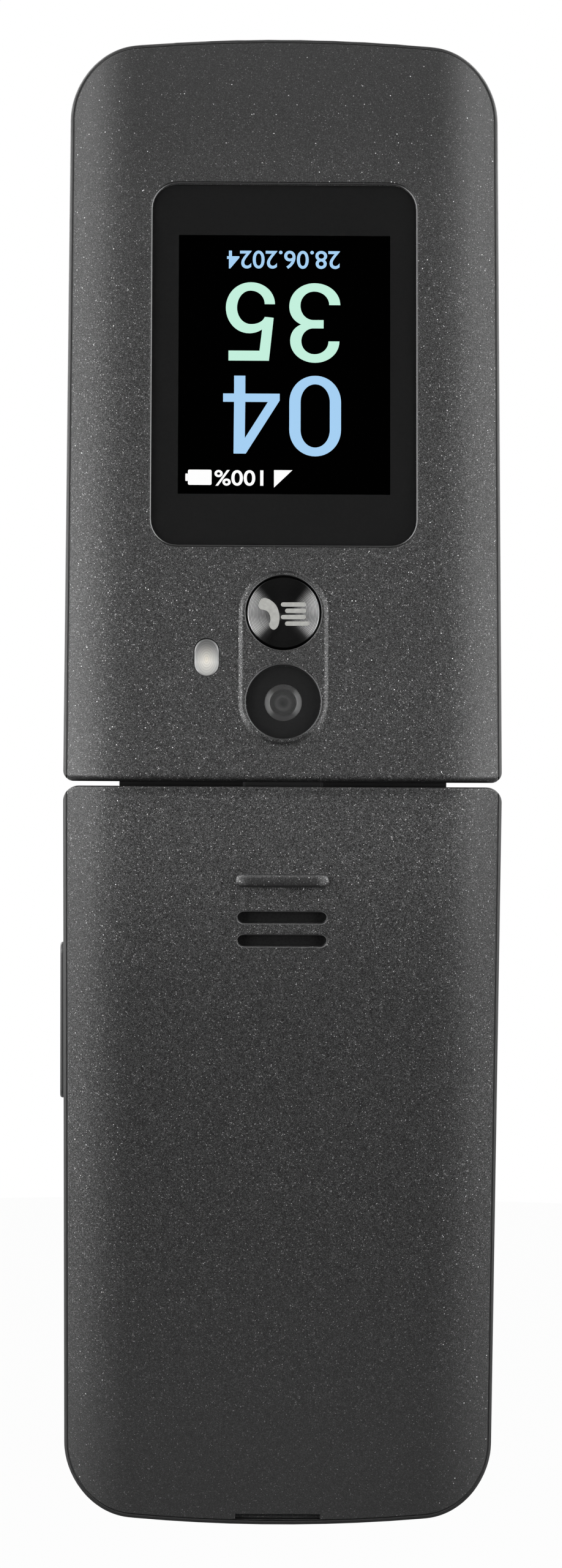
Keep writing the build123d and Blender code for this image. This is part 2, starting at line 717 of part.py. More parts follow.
def make_lid_frame(body):
    """Front case of the lid: display face, side walls and the two outer knuckles."""
    knuckle_start = CENTRE_END + KNUCKLE_GAP
    with BuildPart() as frame:
        raised(outline(LID), LID.inner, SKIN)
        add(body, mode=Mode.INTERSECT)
        add(cover_seat(LID), mode=Mode.SUBTRACT)
        add(pocket(LID, PLATE_HIGH, SKIN), mode=Mode.SUBTRACT)
        seat = (GLASS[0] + 0.2, GLASS[1] + 0.2)
        raised(rectangle(seat, (0, GLASS_Y), 3.1), LID.inner, GLASS_HIGH, Mode.SUBTRACT)
        opening = (DISPLAY[0] + 0.4, DISPLAY[1] + 0.4)
        raised(rectangle(opening, (0, GLASS_Y)), GLASS_HIGH, PLATE_HIGH, Mode.SUBTRACT)
        with BuildSketch() as slot:
            with Locations((0, EARPIECE_Y)):
                SlotOverall(9.0, 1.3)
        raised(slot.sketch, LID.inner, PLATE_HIGH, Mode.SUBTRACT)
        for at in mirrored(LID_SCREWS):
            raised(ring(BUMPER + 0.05, at), LID.inner, BUMPER_HIGH, Mode.SUBTRACT)
            raised(ring(SCREW_HEAD, at), BUMPER_HIGH, HEAD_HIGH, Mode.SUBTRACT)
            raised(ring(SCREW, at), HEAD_HIGH, PLATE_HIGH, Mode.SUBTRACT)
        add(rod(BARREL_RELIEF, -knuckle_start, knuckle_start), mode=Mode.SUBTRACT)
        add(rod(BARREL, knuckle_start, BARREL_END))
        add(rod(BARREL, -BARREL_END, -knuckle_start))
        add(rod(PIN + RUNNING_GAP, knuckle_start, PIN_END + 2.0), mode=Mode.SUBTRACT)
        add(rod(CAN, -CAN_END, -knuckle_start), mode=Mode.SUBTRACT)
        add(rod(CAP, BARREL_END - CAP_DEPTH, BARREL_END), mode=Mode.SUBTRACT)
        add(rod(CAP, -BARREL_END, -BARREL_END + CAP_DEPTH), mode=Mode.SUBTRACT)
    return frame.part


def make_lid_cover(body):
    """Outer cover of the lid, with its window, key, camera and flash openings."""
    inside = SKIN - COVER_WALL
    top = SKIN + PLATEAU_RISE
    with BuildPart() as cover:
        add(cover_blank(LID, body))
        for at in mirrored(LID_SCREWS):
            raised(ring(BOSS + 0.3, at), PLATE_HIGH, inside)
        add(under_crown(0.4), mode=Mode.INTERSECT)
        add(cover_blank(LID, body))
        for at in mirrored(LID_SCREWS):
            raised(ring(SCREW, at), PLATE_HIGH, LID_SCREW_TIP, Mode.SUBTRACT)
        with BuildSketch(Plane.XY.offset(SKIN)) as foot:
            with Locations((0, PLATEAU_Y)):
                SlotOverall(PLATEAU[1], PLATEAU[0], rotation=90)
        extrude(foot.sketch, amount=PLATEAU_RISE, taper=PLATEAU_SLOPE)
        fillet(at_skin(cover), PLATEAU_ROUND)
        fillet(cover.edges().group_by(Axis.Z)[-1], PLATEAU_ROUND)
        window = (WINDOW[0] + 0.16, WINDOW[1] + 0.16)
        glass_low = SKIN - WINDOW_SINK - WINDOW_GLASS
        raised(rectangle(window, (0, WINDOW_Y), WINDOW_CORNER), glass_low, SKIN, Mode.SUBTRACT)
        chamfer(at_skin(cover), WINDOW_CHAMFER)
        raised(rectangle((33.0, 47.0), (0, WINDOW_Y), 2.5), inside, glass_low, Mode.SUBTRACT)
        raised(ring(QUICK_HOLE, (0, QUICK_KEY_Y)), inside, top, Mode.SUBTRACT)
        raised(ring(LENS_HOLE, (0, CAMERA_Y)), LENS_SEAT, top, Mode.SUBTRACT)
        rims = cover.edges().filter_by(GeomType.CIRCLE).group_by(Axis.Z)[-1]
        fillet(rims.filter_by(lambda rim: rim.radius in (QUICK_HOLE, LENS_HOLE)), HOLE_ROUND)
        raised(ring(CAMERA_BARREL + 0.1, (0, CAMERA_Y)), inside, LENS_SEAT, Mode.SUBTRACT)
        with BuildSketch() as flash:
            with Locations(FLASH_AT):
                SlotOverall(FLASH[1], FLASH[0], rotation=90)
        raised(flash.sketch, inside, SKIN, Mode.SUBTRACT)
    return cover.part


# ---- lid: faces and inside ----


def make_cover_window():
    """Glass of the outer display, just below the cover's face."""
    top = SKIN - WINDOW_SINK
    with BuildPart() as glass:
        size = (WINDOW[0] - 0.04, WINDOW[1] - 0.04)
        raised(rectangle(size, (0, WINDOW_Y), WINDOW_CORNER - 0.1), top - WINDOW_GLASS, top)
        chamfer(glass.faces().sort_by(Axis.Z)[-1].edges(), 0.08)
    return glass.part


def make_cover_display():
    """Small display module behind the outer window."""
    top = SKIN - WINDOW_SINK - WINDOW_GLASS
    with BuildPart() as display:
        raised(rectangle((31.4, 41.8), (0, WINDOW_Y), 0.6), 5.9, top)
    return display.part


def make_main_window():
    """Glass over the main display."""
    with BuildPart() as glass:
        raised(rectangle(GLASS, (0, GLASS_Y), 3.0), GLASS_LOW, GLASS_HIGH)
        chamfer(glass.faces().sort_by(Axis.Z)[0].edges(), 0.1)
    return glass.part


def make_main_display():
    """Main display module."""
    with BuildPart() as display:
        raised(rectangle(DISPLAY, (0, GLASS_Y), 0.8), GLASS_HIGH, LID_BOARD_LOW)
    return display.part


def make_quick_key():
    """Round metal key beside the camera, dished, with its flange and stem."""
    at = (0, QUICK_KEY_Y)
    top = SKIN + PLATEAU_RISE - 0.05
    inside = SKIN - COVER_WALL
    with BuildPart() as key:
        raised(ring(QUICK_KEY, at), inside - 0.5, top)
        chamfer(key.faces().sort_by(Axis.Z)[-1].edges(), 0.12)
        raised(ring(QUICK_HOLE + 0.4, at), inside - 0.5, inside - 0.1)
        raised(ring(1.2, at), QUICK_STEM, inside - 0.5)
        dish = 60.0
        with BuildSketch(Plane.XZ.offset(-QUICK_KEY_Y)) as bowl:
            with Locations((0, top - 0.12 + dish)):
                Circle(dish)
            with Locations((-dish, top)):
                Rectangle(2 * dish, 8 * dish, mode=Mode.SUBTRACT)
            with Locations((0, top + 2 + dish)):
                Rectangle(4 * dish, 2 * dish, mode=Mode.SUBTRACT)
        revolve(bowl.sketch, axis=Axis((0, QUICK_KEY_Y, 0), (0, 0, 1)), mode=Mode.SUBTRACT)
    return key.part


def make_quick_key_switch():
    """Push switch under the round key."""
    at = (0, QUICK_KEY_Y)
    with BuildPart() as switch:
        raised(rectangle((5.0, 5.0), at, 0.4), LID_BOARD_HIGH, 6.4)
        raised(ring(1.5, at), 6.4, QUICK_STEM - KEY_TRAVEL - 0.1)
    return switch.part


def make_camera_module():
    """Camera: square body, round barrel and a domed front lens."""
    at = (0, CAMERA_Y)
    inside = SKIN - COVER_WALL
    front = LENS_SEAT - 0.1
    with BuildPart() as camera:
        raised(rectangle((5.8, 5.8), at, 0.3), 6.3, inside)
        raised(ring(CAMERA_BARREL, at), inside, front)
        with BuildSketch(Plane.XY.offset(front)) as bevel:
            with Locations(at):
                Circle(LENS_RADIUS)
        extrude(bevel.sketch, amount=-0.45, taper=30, mode=Mode.SUBTRACT)
        with BuildSketch(Plane.XY.offset(front - 0.45)) as lens:
            with Locations(at):
                Circle(LENS_RADIUS - 0.3)
        extrude(lens.sketch, amount=0.2, taper=60)
    return camera.part


def make_camera_window():
    """Round glass over the camera."""
    top = SKIN + PLATEAU_RISE - 0.12
    with BuildPart() as glass:
        raised(ring(LENS_WINDOW, (0, CAMERA_Y)), LENS_SEAT, top)
        chamfer(glass.faces().sort_by(Axis.Z)[-1].edges(), 0.1)
    return glass.part


def make_flash_lens():
    """Milky lens of the flash, with its flange under the cover."""
    inside = SKIN - COVER_WALL
    with BuildPart() as lens:
        with BuildSketch() as face:
            with Locations(FLASH_AT):
                SlotOverall(FLASH[1] - 0.1, FLASH[0] - 0.1, rotation=90)
        raised(face.sketch, inside, SKIN + 0.05)
        fillet(lens.faces().sort_by(Axis.Z)[-1].edges(), 0.3)
        with BuildSketch() as flange:
            with Locations(FLASH_AT):
                SlotOverall(FLASH[1] + 0.8, FLASH[0] + 0.8, rotation=90)
        raised(flange.sketch, inside - 0.4, inside)
    return lens.part


def make_flash_led():
    """Flash LED on a riser from the lid's board."""
    with BuildPart() as led:
        raised(rectangle((3.0, 3.0), FLASH_AT), LID_BOARD_HIGH, SKIN - COVER_WALL - 0.4)
    return led.part


def make_earpiece():
    """Earpiece speaker behind its slot."""
    with BuildPart() as earpiece:
        raised(rectangle((12.0, 4.6), (0, EARPIECE_Y), 1.0), PLATE_HIGH, 4.3)
    return earpiece.part


def make_lid_board():
    """Circuit board of the lid, on the back of the main display."""
    with BuildPart() as board:
        raised(rectangle((44.0, 75.5), (0, 50.25), 2.0), LID_BOARD_LOW, LID_BOARD_HIGH)
        raised(rectangle((20.0, 14.0), (0, 72.0), 1.0), LID_BOARD_HIGH, 5.6)
    return board.part


def make_bumpers():
    """Rubber dots that cover the lid's screws and meet the keypad face."""
    with BuildPart() as bumpers:
        for at in mirrored(LID_SCREWS):
            raised(ring(BUMPER, at), BUMPER_LOW, BUMPER_HIGH)
    return bumpers.part


# ---- the whole phone ----

DEPTH_FRONT = -(SKIN + BAR_RISE)
DEPTH_BACK = LID.length * sin(LEAN) - LID.inner * cos(LEAN)
HINGE = (0, -(DEPTH_FRONT + DEPTH_BACK) / 2, BASE.length)
BASE_PLACE = Plane(origin=HINGE, x_dir=(-1, 0, 0), z_dir=(0, -1, 0)).location
LID_PLACE = Plane(origin=HINGE, x_dir=(1, 0, 0), z_dir=(0, -cos(LEAN), sin(LEAN))).location


def base_pieces():
    """Every piece of the base, by name."""
    body = envelope(BASE)
    pieces = {
        "base_frame": make_base_frame(body),
        "keypad_bezel": make_keypad_bezel(body),
        "back_cover": make_back_cover(body),
        "speaker_mesh": make_speaker_mesh(),
        "ok_key": make_ok_key(),
        "nav_ring": make_nav_ring(),
        "nav_rocker": make_nav_rocker(),
        "volume_key": make_volume_key(),
        "dome_sheet": make_dome_sheet(),
        "main_board": make_main_board(),
        "battery": make_battery(),
        "battery_contacts": make_battery_contacts(),
        "loudspeaker": make_loudspeaker(),
        "card_reader": make_card_reader(),
        "vibration_motor": make_vibration_motor(),
        "microphone": make_microphone(),
        "usb_connector": make_usb_connector(),
        "headphone_jack": make_headphone_jack(),
        "volume_switches": make_volume_switches(),
        "base_screws": make_screws(BASE_SCREWS, BAY_HIGH, BAY_HIGH + 0.6, 1.6, 1),
        "hinge_shaft": make_hinge_shaft(),
        "hinge_pin": make_hinge_pin(),
        "hinge_flex": make_hinge_flex(),
    }
    for name, (at, size, corner) in key_places().items():
        pieces[name] = make_key(at, size, corner)
    return pieces


def lid_pieces():
    """Every piece of the lid, by name."""
    body = envelope(LID)
    return {
        "lid_frame": make_lid_frame(body),
        "lid_cover": make_lid_cover(body),
        "cover_window": make_cover_window(),
        "cover_display": make_cover_display(),
        "main_window": make_main_window(),
        "main_display": make_main_display(),
        "quick_key": make_quick_key(),
        "quick_key_switch": make_quick_key_switch(),
        "camera_module": make_camera_module(),
        "camera_window": make_camera_window(),
        "flash_lens": make_flash_lens(),
        "flash_led": make_flash_led(),
        "earpiece": make_earpiece(),
        "lid_board": make_lid_board(),
        "lid_screws": make_screws(LID_SCREWS, BUMPER_HIGH, HEAD_HIGH, LID_SCREW_TIP, -1),
        "bumpers": make_bumpers(),
        "hinge_can": make_hinge_can(),
        "hinge_follower": make_hinge_follower(),
        "hinge_spring": make_hinge_spring(),
        "hinge_caps": make_hinge_caps(),
    }


os.makedirs("parts", exist_ok=True)
for pieces, place in ((base_pieces(), BASE_PLACE), (lid_pieces(), LID_PLACE)):
    for name, piece in pieces.items():
        placed = piece.moved(place)
        placed.label = name
        export_step(placed, f"parts/{name}.step")
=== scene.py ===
# Looks, light and camera for the flip phone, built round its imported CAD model.
import json
import math

import bpy
from mathutils import Matrix, Vector


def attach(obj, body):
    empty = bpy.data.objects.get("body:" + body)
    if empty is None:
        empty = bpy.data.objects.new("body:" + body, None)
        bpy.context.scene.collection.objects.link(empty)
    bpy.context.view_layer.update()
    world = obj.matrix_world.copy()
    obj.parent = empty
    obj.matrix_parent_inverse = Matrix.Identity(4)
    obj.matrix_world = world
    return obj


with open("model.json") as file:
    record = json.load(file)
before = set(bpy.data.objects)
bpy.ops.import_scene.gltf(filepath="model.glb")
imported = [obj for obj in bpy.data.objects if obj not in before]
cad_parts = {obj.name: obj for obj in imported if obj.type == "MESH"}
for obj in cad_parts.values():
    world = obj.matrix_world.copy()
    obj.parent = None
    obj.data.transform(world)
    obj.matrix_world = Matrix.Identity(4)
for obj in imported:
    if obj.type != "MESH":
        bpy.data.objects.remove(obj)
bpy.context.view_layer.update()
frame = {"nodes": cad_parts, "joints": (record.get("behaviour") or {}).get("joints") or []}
scene = bpy.context.scene
nodes = frame["nodes"]

# ---- places and sizes from the CAD, in millimetres ----
# Each half is drawn from the hinge axis: x across, y towards the far end, z out of its face.

MM = 0.001
LEAN = math.radians(20)
SKIN = 9.4
BASE_LENGTH = 98.5
LID_LENGTH = 99.0
HALF_WIDTH = 28.8
SIDE_TAPER = 0.35 / BASE_LENGTH
ARCH_RADIUS = 216.0
FAR_CORNER = 9.5
CROWN_FLAT = 19.0
CROWN_RADIUS = 14.3
RIM_BAND = 0.42

WINDOW_Y = 54.64
WINDOW_FACE = SKIN - 0.12
WINDOW_GLASS = 0.6
PLATEAU = SKIN + 0.45
QUICK_Y = 21.12
ROUND_HOLE = 5.0
KEY_DISH = PLATEAU - 0.05 - 0.12
DISH_RADIUS = 60.0
CAMERA_Y = 9.25
CAMERA_BARREL = 2.45
CAMERA_GLASS_LOW = 8.95
FLASH_AT = (-10.05, 15.18)

BAR_Y = 11.13
BAR_HALF = 6.5
SLOT_YS = (16.11, 19.19)
SLOT_LINE = (11.78, 1.58)
NOTCH_Y = BASE_LENGTH - 0.8 - 0.35
NOTCH_HALF = 5.65

KEY_FACE = -0.5
COLUMN_PITCH = 17.0
ROW_PITCH = 10.4
FIRST_ROW = 53.0
CALL_ROW = 40.2
SOFT_KEY_AT = (19.3, 15.6)
RING_Y = 22.5
RING_DOTS = 9.1
MAIN_Y = 50.5
MAIN_GLASS_LOW = 1.6
MAIN_GLASS = (51.8, 76.8)
MAIN_LCD = (48.6, 64.8)

HINGE = Vector(next(joint for joint in frame["joints"] if joint["name"] == "lid_fold")["pos_m"])
LID = Matrix.Translation(HINGE) @ Matrix((
    (MM, 0, 0, 0),
    (0, MM * math.sin(LEAN), -MM * math.cos(LEAN), 0),
    (0, MM * math.cos(LEAN), MM * math.sin(LEAN), 0),
    (0, 0, 0, 1),
))
BASE = Matrix.Translation(HINGE) @ Matrix((
    (-MM, 0, 0, 0),
    (0, 0, -MM, 0),
    (0, -MM, 0, 0),
    (0, 0, 0, 1),
))


def at(x, y, z=0.0):
    return Matrix.Translation((x, y, z))


def lid_point(x, y, z):
    return LID @ Vector((x, y, z))


def base_point(x, y, z):
    return BASE @ Vector((x, y, z))


# ---- node kit ----


def colour4(colour):
    if isinstance(colour, (int, float)):
        colour = (colour,) * 3
    return (*colour, 1.0)


def shaded(colour, share):
    return tuple(share * part for part in colour4(colour)[:3])


def is_socket(value):
    return isinstance(value, bpy.types.NodeSocket)


class Nodes:
    """The node tree of a material or world, with short calls to add and join nodes."""

    def __init__(self, holder, output="OutputMaterial"):
        holder.use_nodes = True
        self.holder = holder
        self.tree = holder.node_tree
        self.tree.nodes.clear()
        self.out = self.add(output)

    def add(self, kind, inputs=None, **settings):
        node = self.tree.nodes.new("ShaderNode" + kind)
        for key, value in settings.items():
            setattr(node, key, value)
        for key, value in (inputs or {}).items():
            if is_socket(value):
                self.tree.links.new(value, node.inputs[key])
            else:
                node.inputs[key].default_value = value
        return node

    def surface(self, socket):
        self.tree.links.new(socket, self.out.inputs["Surface"])
        return self.holder

    def coordinates(self, kind="Object"):
        return self.add("TexCoord").outputs[kind]

    def place(self, origin=(0, 0, 0), turn=(0, 0, 0), scale=(1, 1, 1)):
        """Object coordinates measured from a point, turned into a face's own directions."""
        moved = self.add("VectorMath", {0: self.coordinates(), 1: origin}, operation="SUBTRACT")
        inputs = {"Vector": moved.outputs[0], "Rotation": turn, "Scale": scale}
        return self.add("Mapping", inputs).outputs[0]

    def split(self, vector):
        """The x, y and z of a vector."""
        return self.add("SeparateXYZ", {"Vector": vector}).outputs[:3]

    def math(self, operation, *values):
        return self.add("Math", dict(enumerate(values)), operation=operation).outputs[0]

    def size(self, value):
        return self.math("ABSOLUTE", value)

    def product(self, first, *others):
        for other in others:
            first = self.math("MULTIPLY", first, other)
        return first

    def span(self, value, start, end, low=0.0, high=1.0, smooth=False):
        """Maps start..end to low..high and holds beyond them; start may be above end."""
        inputs = {"Value": value, "From Min": start, "From Max": end, "To Min": low, "To Max": high}
        kind = "SMOOTHSTEP" if smooth else "LINEAR"
        return self.add("MapRange", inputs, interpolation_type=kind).outputs[0]

    def spread(self, value, low, high):
        """Maps 0..1 to low..high."""
        return self.span(value, 0.0, 1.0, low, high)

    def blend(self, factor, first, second, mode="MIX"):
        """Colour that goes from first to second as factor goes from 0 to 1."""
        first, second = (v if is_socket(v) else colour4(v) for v in (first, second))
        inputs = {"Factor": factor, "A": first, "B": second}
        return self.add("Mix", inputs, data_type="RGBA", blend_type=mode).outputs[2]

    def blend_number(self, factor, first, second):
        inputs = {"Factor": factor, "A": first, "B": second}
        return self.add("Mix", inputs, data_type="FLOAT").outputs[0]

    def ramp(self, value, stops):
        """Grey or coloured ramp: stops are (position, grey or colour)."""
        node = self.add("ValToRGB", {"Fac": value})
        band = node.color_ramp
        while len(band.elements) < len(stops):
            band.elements.new(0.5)
        for element, (position, colour) in zip(band.elements, stops):
            element.position = position
            element.color = colour4(colour)
        return node.outputs["Color"]

    def noise(self, size, where=None, detail=2.0):
        """Noise whose blobs are about size metres across."""
        if where is None:
            where = self.coordinates()
        inputs = {"Vector": where, "Scale": 1.0 / size, "Detail": detail}
        return self.add("TexNoise", inputs).outputs["Fac"]

    def bump(self, height, strength, distance, under=None):
        inputs = {"Height": height, "Strength": strength, "Distance": distance}
        if under is not None:
            inputs["Normal"] = under
        return self.add("Bump", inputs).outputs[0]

    def edge(self, radius):
        """Shading normal with edges rounded off by radius metres."""
        return self.add("Bevel", {"Radius": radius}, samples=4).outputs[0]

    def principled(self, **inputs):
        names = {}
        for key, value in inputs.items():
            if key.endswith("Color") and not is_socket(value):
                value = colour4(value)
            names[key.replace("_", " ")] = value
        return self.add("BsdfPrincipled", names).outputs[0]


def material(name):
    return Nodes(bpy.data.materials.new(name))


# ---- paint ----

FLAKE = 0.09 * MM
GLINT_CELL = 0.45 * MM
PAINT_GREY = 0.050
PAINT_CLOUD = 11.0 * MM
GRAIN_DEPTH = 0.02 * MM
RAMP_TOP = 0.2

FLAKE_SHADES = (
    (0.0, 0.001), (0.25, 0.017), (0.5, 0.037), (0.75, 0.062), (0.92, 0.095), (0.985, 0.17),
    (1.0, 0.60),
)
GLINT_LOTTERY = ((0.935, 0.0), (0.937, 0.3), (1.0, 1.0))
GLINT_NEAR = ((0.13, 1.0), (0.19, 0.0))
# By height over the floor, as a share of RAMP_TOP
CALM = (
    (0.0, 0.65), (0.06, 0.55), (0.20, 0.10), (0.30, 0.0), (0.76, 0.0), (0.86, 0.30), (0.96, 0.60),
)
# Painted light on the covers by height: FACE_SHINE on the flat face, SIDE_SHINE on the rounded
# sides
FACE_SHINE = (
    (0.00, 0.47), (0.30, 0.50), (0.36, 0.53), (0.40, 0.61), (0.44, 0.74), (0.47, 0.79),
    (0.492, 0.79), (0.494, 0.575), (0.63, 0.57), (0.75, 0.54), (0.86, 0.51), (0.92, 0.42),
)
SIDE_SHINE = (
    (0.00, 0.53), (0.05, 0.56), (0.105, 0.635), (0.16, 0.61), (0.22, 0.60), (0.28, 0.54),
    (0.34, 0.475), (0.405, 0.44), (0.465, 0.49), (0.492, 0.50), (0.50, 0.49), (0.56, 0.47),
    (0.62, 0.50),
)
END_SHADE = ((0.02, 0.6), (0.055, 0.0), (0.89, 0.0), (0.935, 0.75))
# Painted shade by how far a surface faces up, from -1 to 1 mapped to 0 to 1: darker where it faces
# down, a little darker where it faces straight up
FACING_SHADE = ((0.25, 0.30), (0.42, 0.75), (0.48, 1.0), (0.82, 1.0), (0.95, 0.45))
# Painted light and shade on the grip bar, by height over the bar's foot
BAR_MIDDLE = ((0.0, 0.07), (0.15, 0.11), (0.45, 0.19), (0.72, 0.23), (0.90, 0.46), (1.0, 0.30))
BAR_TIPS = ((0.0, 0.14), (0.18, 0.36), (0.45, 0.74), (0.75, 0.72), (1.0, 0.42))


def height_share(n):
    """Height over the floor, 0 to 1 up to RAMP_TOP."""
    return n.span(n.split(n.coordinates())[2], 0.0, RAMP_TOP)


def slope_highlight(n):
    """Painted highlight on the sloping sides at the left and right of the raised oval."""
    tilt = n.span(n.size(n.split(n.coordinates("Normal"))[0]), 0.15, 0.6)
    inner = n.span(n.size(n.split(n.coordinates())[0]), 9.0 * MM, 7.5 * MM)
    return n.spread(n.product(tilt, inner), 1.0, 1.75)


def height_light(n):
    """Painted light on both covers, set by height: brightest on the base just below the hinge, with
    its own ramp on the rounded sides.
    """
    flat = n.span(n.size(n.split(n.coordinates("Normal"))[0]), 0.5, 0.1)
    height = height_share(n)
    level = n.blend_number(flat, n.ramp(height, SIDE_SHINE), n.ramp(height, FACE_SHINE))
    return n.spread(level, 0.0, 2.0)


def on_bar(n):
    """Place on the grip bar: how far it is across, its height, and 1 where it is on the bar."""
    across, out, rise = n.split(n.place(origin=base_point(0, BAR_Y, SKIN)))
    across = n.size(across)
    proud = n.span(out, -0.08 * MM, -0.16 * MM)
    near = n.span(across, (BAR_HALF + 0.1) * MM, BAR_HALF * MM)
    return across, rise, n.product(proud, near)


def bar_shine(n):
    """Painted light and shade on the grip bar: bright ends, a dull middle and a dark foot."""
    across, rise, here = on_bar(n)
    up = n.span(rise, -0.95 * MM, 0.95 * MM)
    end = n.span(across, 4.2 * MM, 5.8 * MM, smooth=True)
    shine = n.blend(end, n.ramp(up, BAR_MIDDLE), n.ramp(up, BAR_TIPS))
    return n.spread(n.blend_number(here, 0.3333, shine), 0.0, 3.0)


def notch_shade(n):
    """Painted light and shade in the fingernail notch: its walls painted darker and its floor
    painted lighter.
    """
    across, out, rise = n.split(n.place(origin=base_point(0, NOTCH_Y, SKIN)))
    wide = n.span(n.size(across), (NOTCH_HALF + 0.55) * MM, (NOTCH_HALF + 0.25) * MM)
    tall = n.span(n.size(rise), 0.8 * MM, 0.6 * MM)
    deep = n.span(out, 0.02 * MM, 0.12 * MM)
    floor = n.span(n.split(n.coordinates("Normal"))[1], -0.4, -0.8, 0.3, 1.9)
    return n.blend_number(n.product(wide, tall, deep), 1.0, floor)


def paint():
    """Graphite paint: fine metal flake under a satin lacquer, with sparse brighter glints painted
    into its colour.
    """
    n = material("paint")
    where = n.coordinates()
    fine = n.add("TexVoronoi", {"Vector": where, "Scale": 1 / FLAKE})
    sparse = n.add("TexVoronoi", {"Vector": where, "Scale": 1 / GLINT_CELL})
    grain = n.add("SeparateColor", {"Color": fine.outputs["Color"]}).outputs[0]
    lottery = n.add("SeparateColor", {"Color": sparse.outputs["Color"]}).outputs[1]
    near = n.ramp(sparse.outputs["Distance"], GLINT_NEAR)
    glint = n.product(n.ramp(lottery, GLINT_LOTTERY), near)
    bar = n.spread(on_bar(n)[2], 0.0, 0.4)
    calm = n.math("MAXIMUM", n.ramp(height_share(n), CALM), bar)
    flakes = n.blend(calm, n.ramp(grain, FLAKE_SHADES), PAINT_GREY)
    # Painted highlight: sparse flakes painted up to white as glints, fewer on the grip bar
    flakes = n.blend(n.product(glint, n.spread(bar, 1.0, 0.2)), flakes, 1.0)
    cloud = n.spread(n.noise(PAINT_CLOUD), 0.97, 1.03)
    # Painted shade: darker on surfaces that face down or straight up
    facing_shade = n.ramp(n.span(n.split(n.coordinates("Normal"))[2], -1.0, 1.0), FACING_SHADE)
    # Painted light and shade by which way a surface faces, on the oval's sloping sides, by height,
    # on the grip bar and in the notch; cloud is random tone
    level = n.product(cloud, facing_shade, slope_highlight(n), height_light(n), bar_shine(n), notch_shade(n))
    return n.surface(n.principled(
        Base_Color=n.blend(1.0, flakes, level, "MULTIPLY"), Metallic=0.1, Roughness=0.45,
        Normal=n.bump(grain, 0.10, GRAIN_DEPTH, n.edge(0.15 * MM)), Specular_IOR_Level=0.5,
    ))


# ---- plain materials ----

PLASTIC_SKIN = 0.35 * MM
PLASTIC_BLOTCH = 6.0 * MM
INK_MOTTLE = 0.4 * MM
BRUSH_MARK = 0.4 * MM
MESH_CELL = 0.3 * MM
RUBBER_GRAIN = 0.6 * MM


def barrel_gap_shade(n):
    """Painted shade on the barrel where the gap between the halves looks onto it."""
    across, out, up = n.split(n.place(origin=HINGE))
    level = n.span(n.size(up), 4.5 * MM, 3.0 * MM)
    inside = n.span(n.size(across), 21.8 * MM, 21.5 * MM)
    return n.product(level, inside, n.span(out, -4.0 * MM, -6.0 * MM))


def moulded(name, grey, roughness, tint=(1.0, 1.0, 1.0), metallic=0.0, painted_shade=0.0):
    """Moulded or satin-painted plastic with a fine skin and slightly worn edges."""
    n = material(name)
    base = shaded(tint, grey)
    worn = n.ramp(n.add("NewGeometry").outputs["Pointiness"], ((0.50, 0.0), (0.56, 1.0)))
    blotch = n.noise(PLASTIC_BLOTCH, detail=4.0)
    dull = n.ramp(blotch, ((0.3, shaded(base, 0.9)), (0.7, shaded(base, 1.1))))
    shade = n.blend(n.spread(worn, 0.0, 0.35), dull, shaded(base, 1.7))
    # Painted shade: near black where the gap between the halves looks onto the barrel, and darker
    # towards the far ends
    if painted_shade:
        shade = n.blend(n.spread(barrel_gap_shade(n), 0.0, painted_shade), shade, 0.001)
        shade = n.blend(n.ramp(height_share(n), END_SHADE), shade, 0.010)
    rough = n.spread(n.noise(3 * PLASTIC_SKIN), roughness - 0.05, roughness + 0.05)
    skin = n.bump(n.noise(PLASTIC_SKIN), 0.12, 0.03 * MM, n.edge(0.2 * MM))
    return n.surface(n.principled(
        Base_Color=shade, Roughness=rough, Normal=skin, Metallic=metallic
    ))


def clear_glass():
    """Hard clear glass that lets lamps through to what is printed and lit behind it."""
    n = material("clear_glass")
    glass = n.principled(
        Base_Color=0.97, Roughness=0.0, IOR=1.45, Transmission_Weight=1.0, Specular_IOR_Level=0.35,
    )
    shadow = n.add("LightPath").outputs["Is Shadow Ray"]
    clear = n.add("BsdfTransparent", {"Color": colour4(0.95)}).outputs[0]
    return n.surface(n.add("MixShader", {0: shadow, 1: glass, 2: clear}).outputs[0])


def lit(name, colour, strength=1.0):
    """A lit part of a display."""
    n = material(name)
    return n.surface(n.principled(
        Base_Color=0.0, Roughness=0.6, Specular_IOR_Level=0.0, Emission_Color=colour,
        Emission_Strength=strength,
    ))


def printed(name, colour, roughness=0.5, shine=0.2):
    """Ink: an even colour with faint print mottle."""
    n = material(name)
    stops = ((0.3, shaded(colour, 0.92)), (0.7, shaded(colour, 1.08)))
    return n.surface(n.principled(
        Base_Color=n.ramp(n.noise(INK_MOTTLE), stops), Roughness=roughness,
        Specular_IOR_Level=shine,
    ))


def metal(name, colour, roughness):
    """Plated or rolled metal with a faint brushed grain."""
    n = material(name)
    grain = n.noise(BRUSH_MARK, n.place(scale=(1.0, 1.0, 0.08)), detail=4.0)
    shade = n.ramp(grain, ((0.3, shaded(colour, 0.85)), (0.7, shaded(colour, 1.1))))
    rough = n.spread(grain, roughness - 0.08, roughness + 0.08)
    return n.surface(n.principled(
        Base_Color=shade, Metallic=1.0, Roughness=rough, Normal=n.bump(grain, 0.08, GRAIN_DEPTH)
    ))


def circuit():
    """Green solder mask with faint tracks."""
    n = material("circuit")
    tracks = n.add("TexBrick", {
        "Vector": n.place(turn=(math.radians(90), 0, 0)), "Scale": 400.0, "Mortar Size": 0.03,
        "Color1": colour4((0.010, 0.070, 0.028)), "Color2": colour4((0.012, 0.085, 0.034)),
        "Mortar": colour4((0.03, 0.16, 0.06)),
    })
    return n.surface(n.principled(Base_Color=tracks.outputs["Color"], Roughness=0.35))


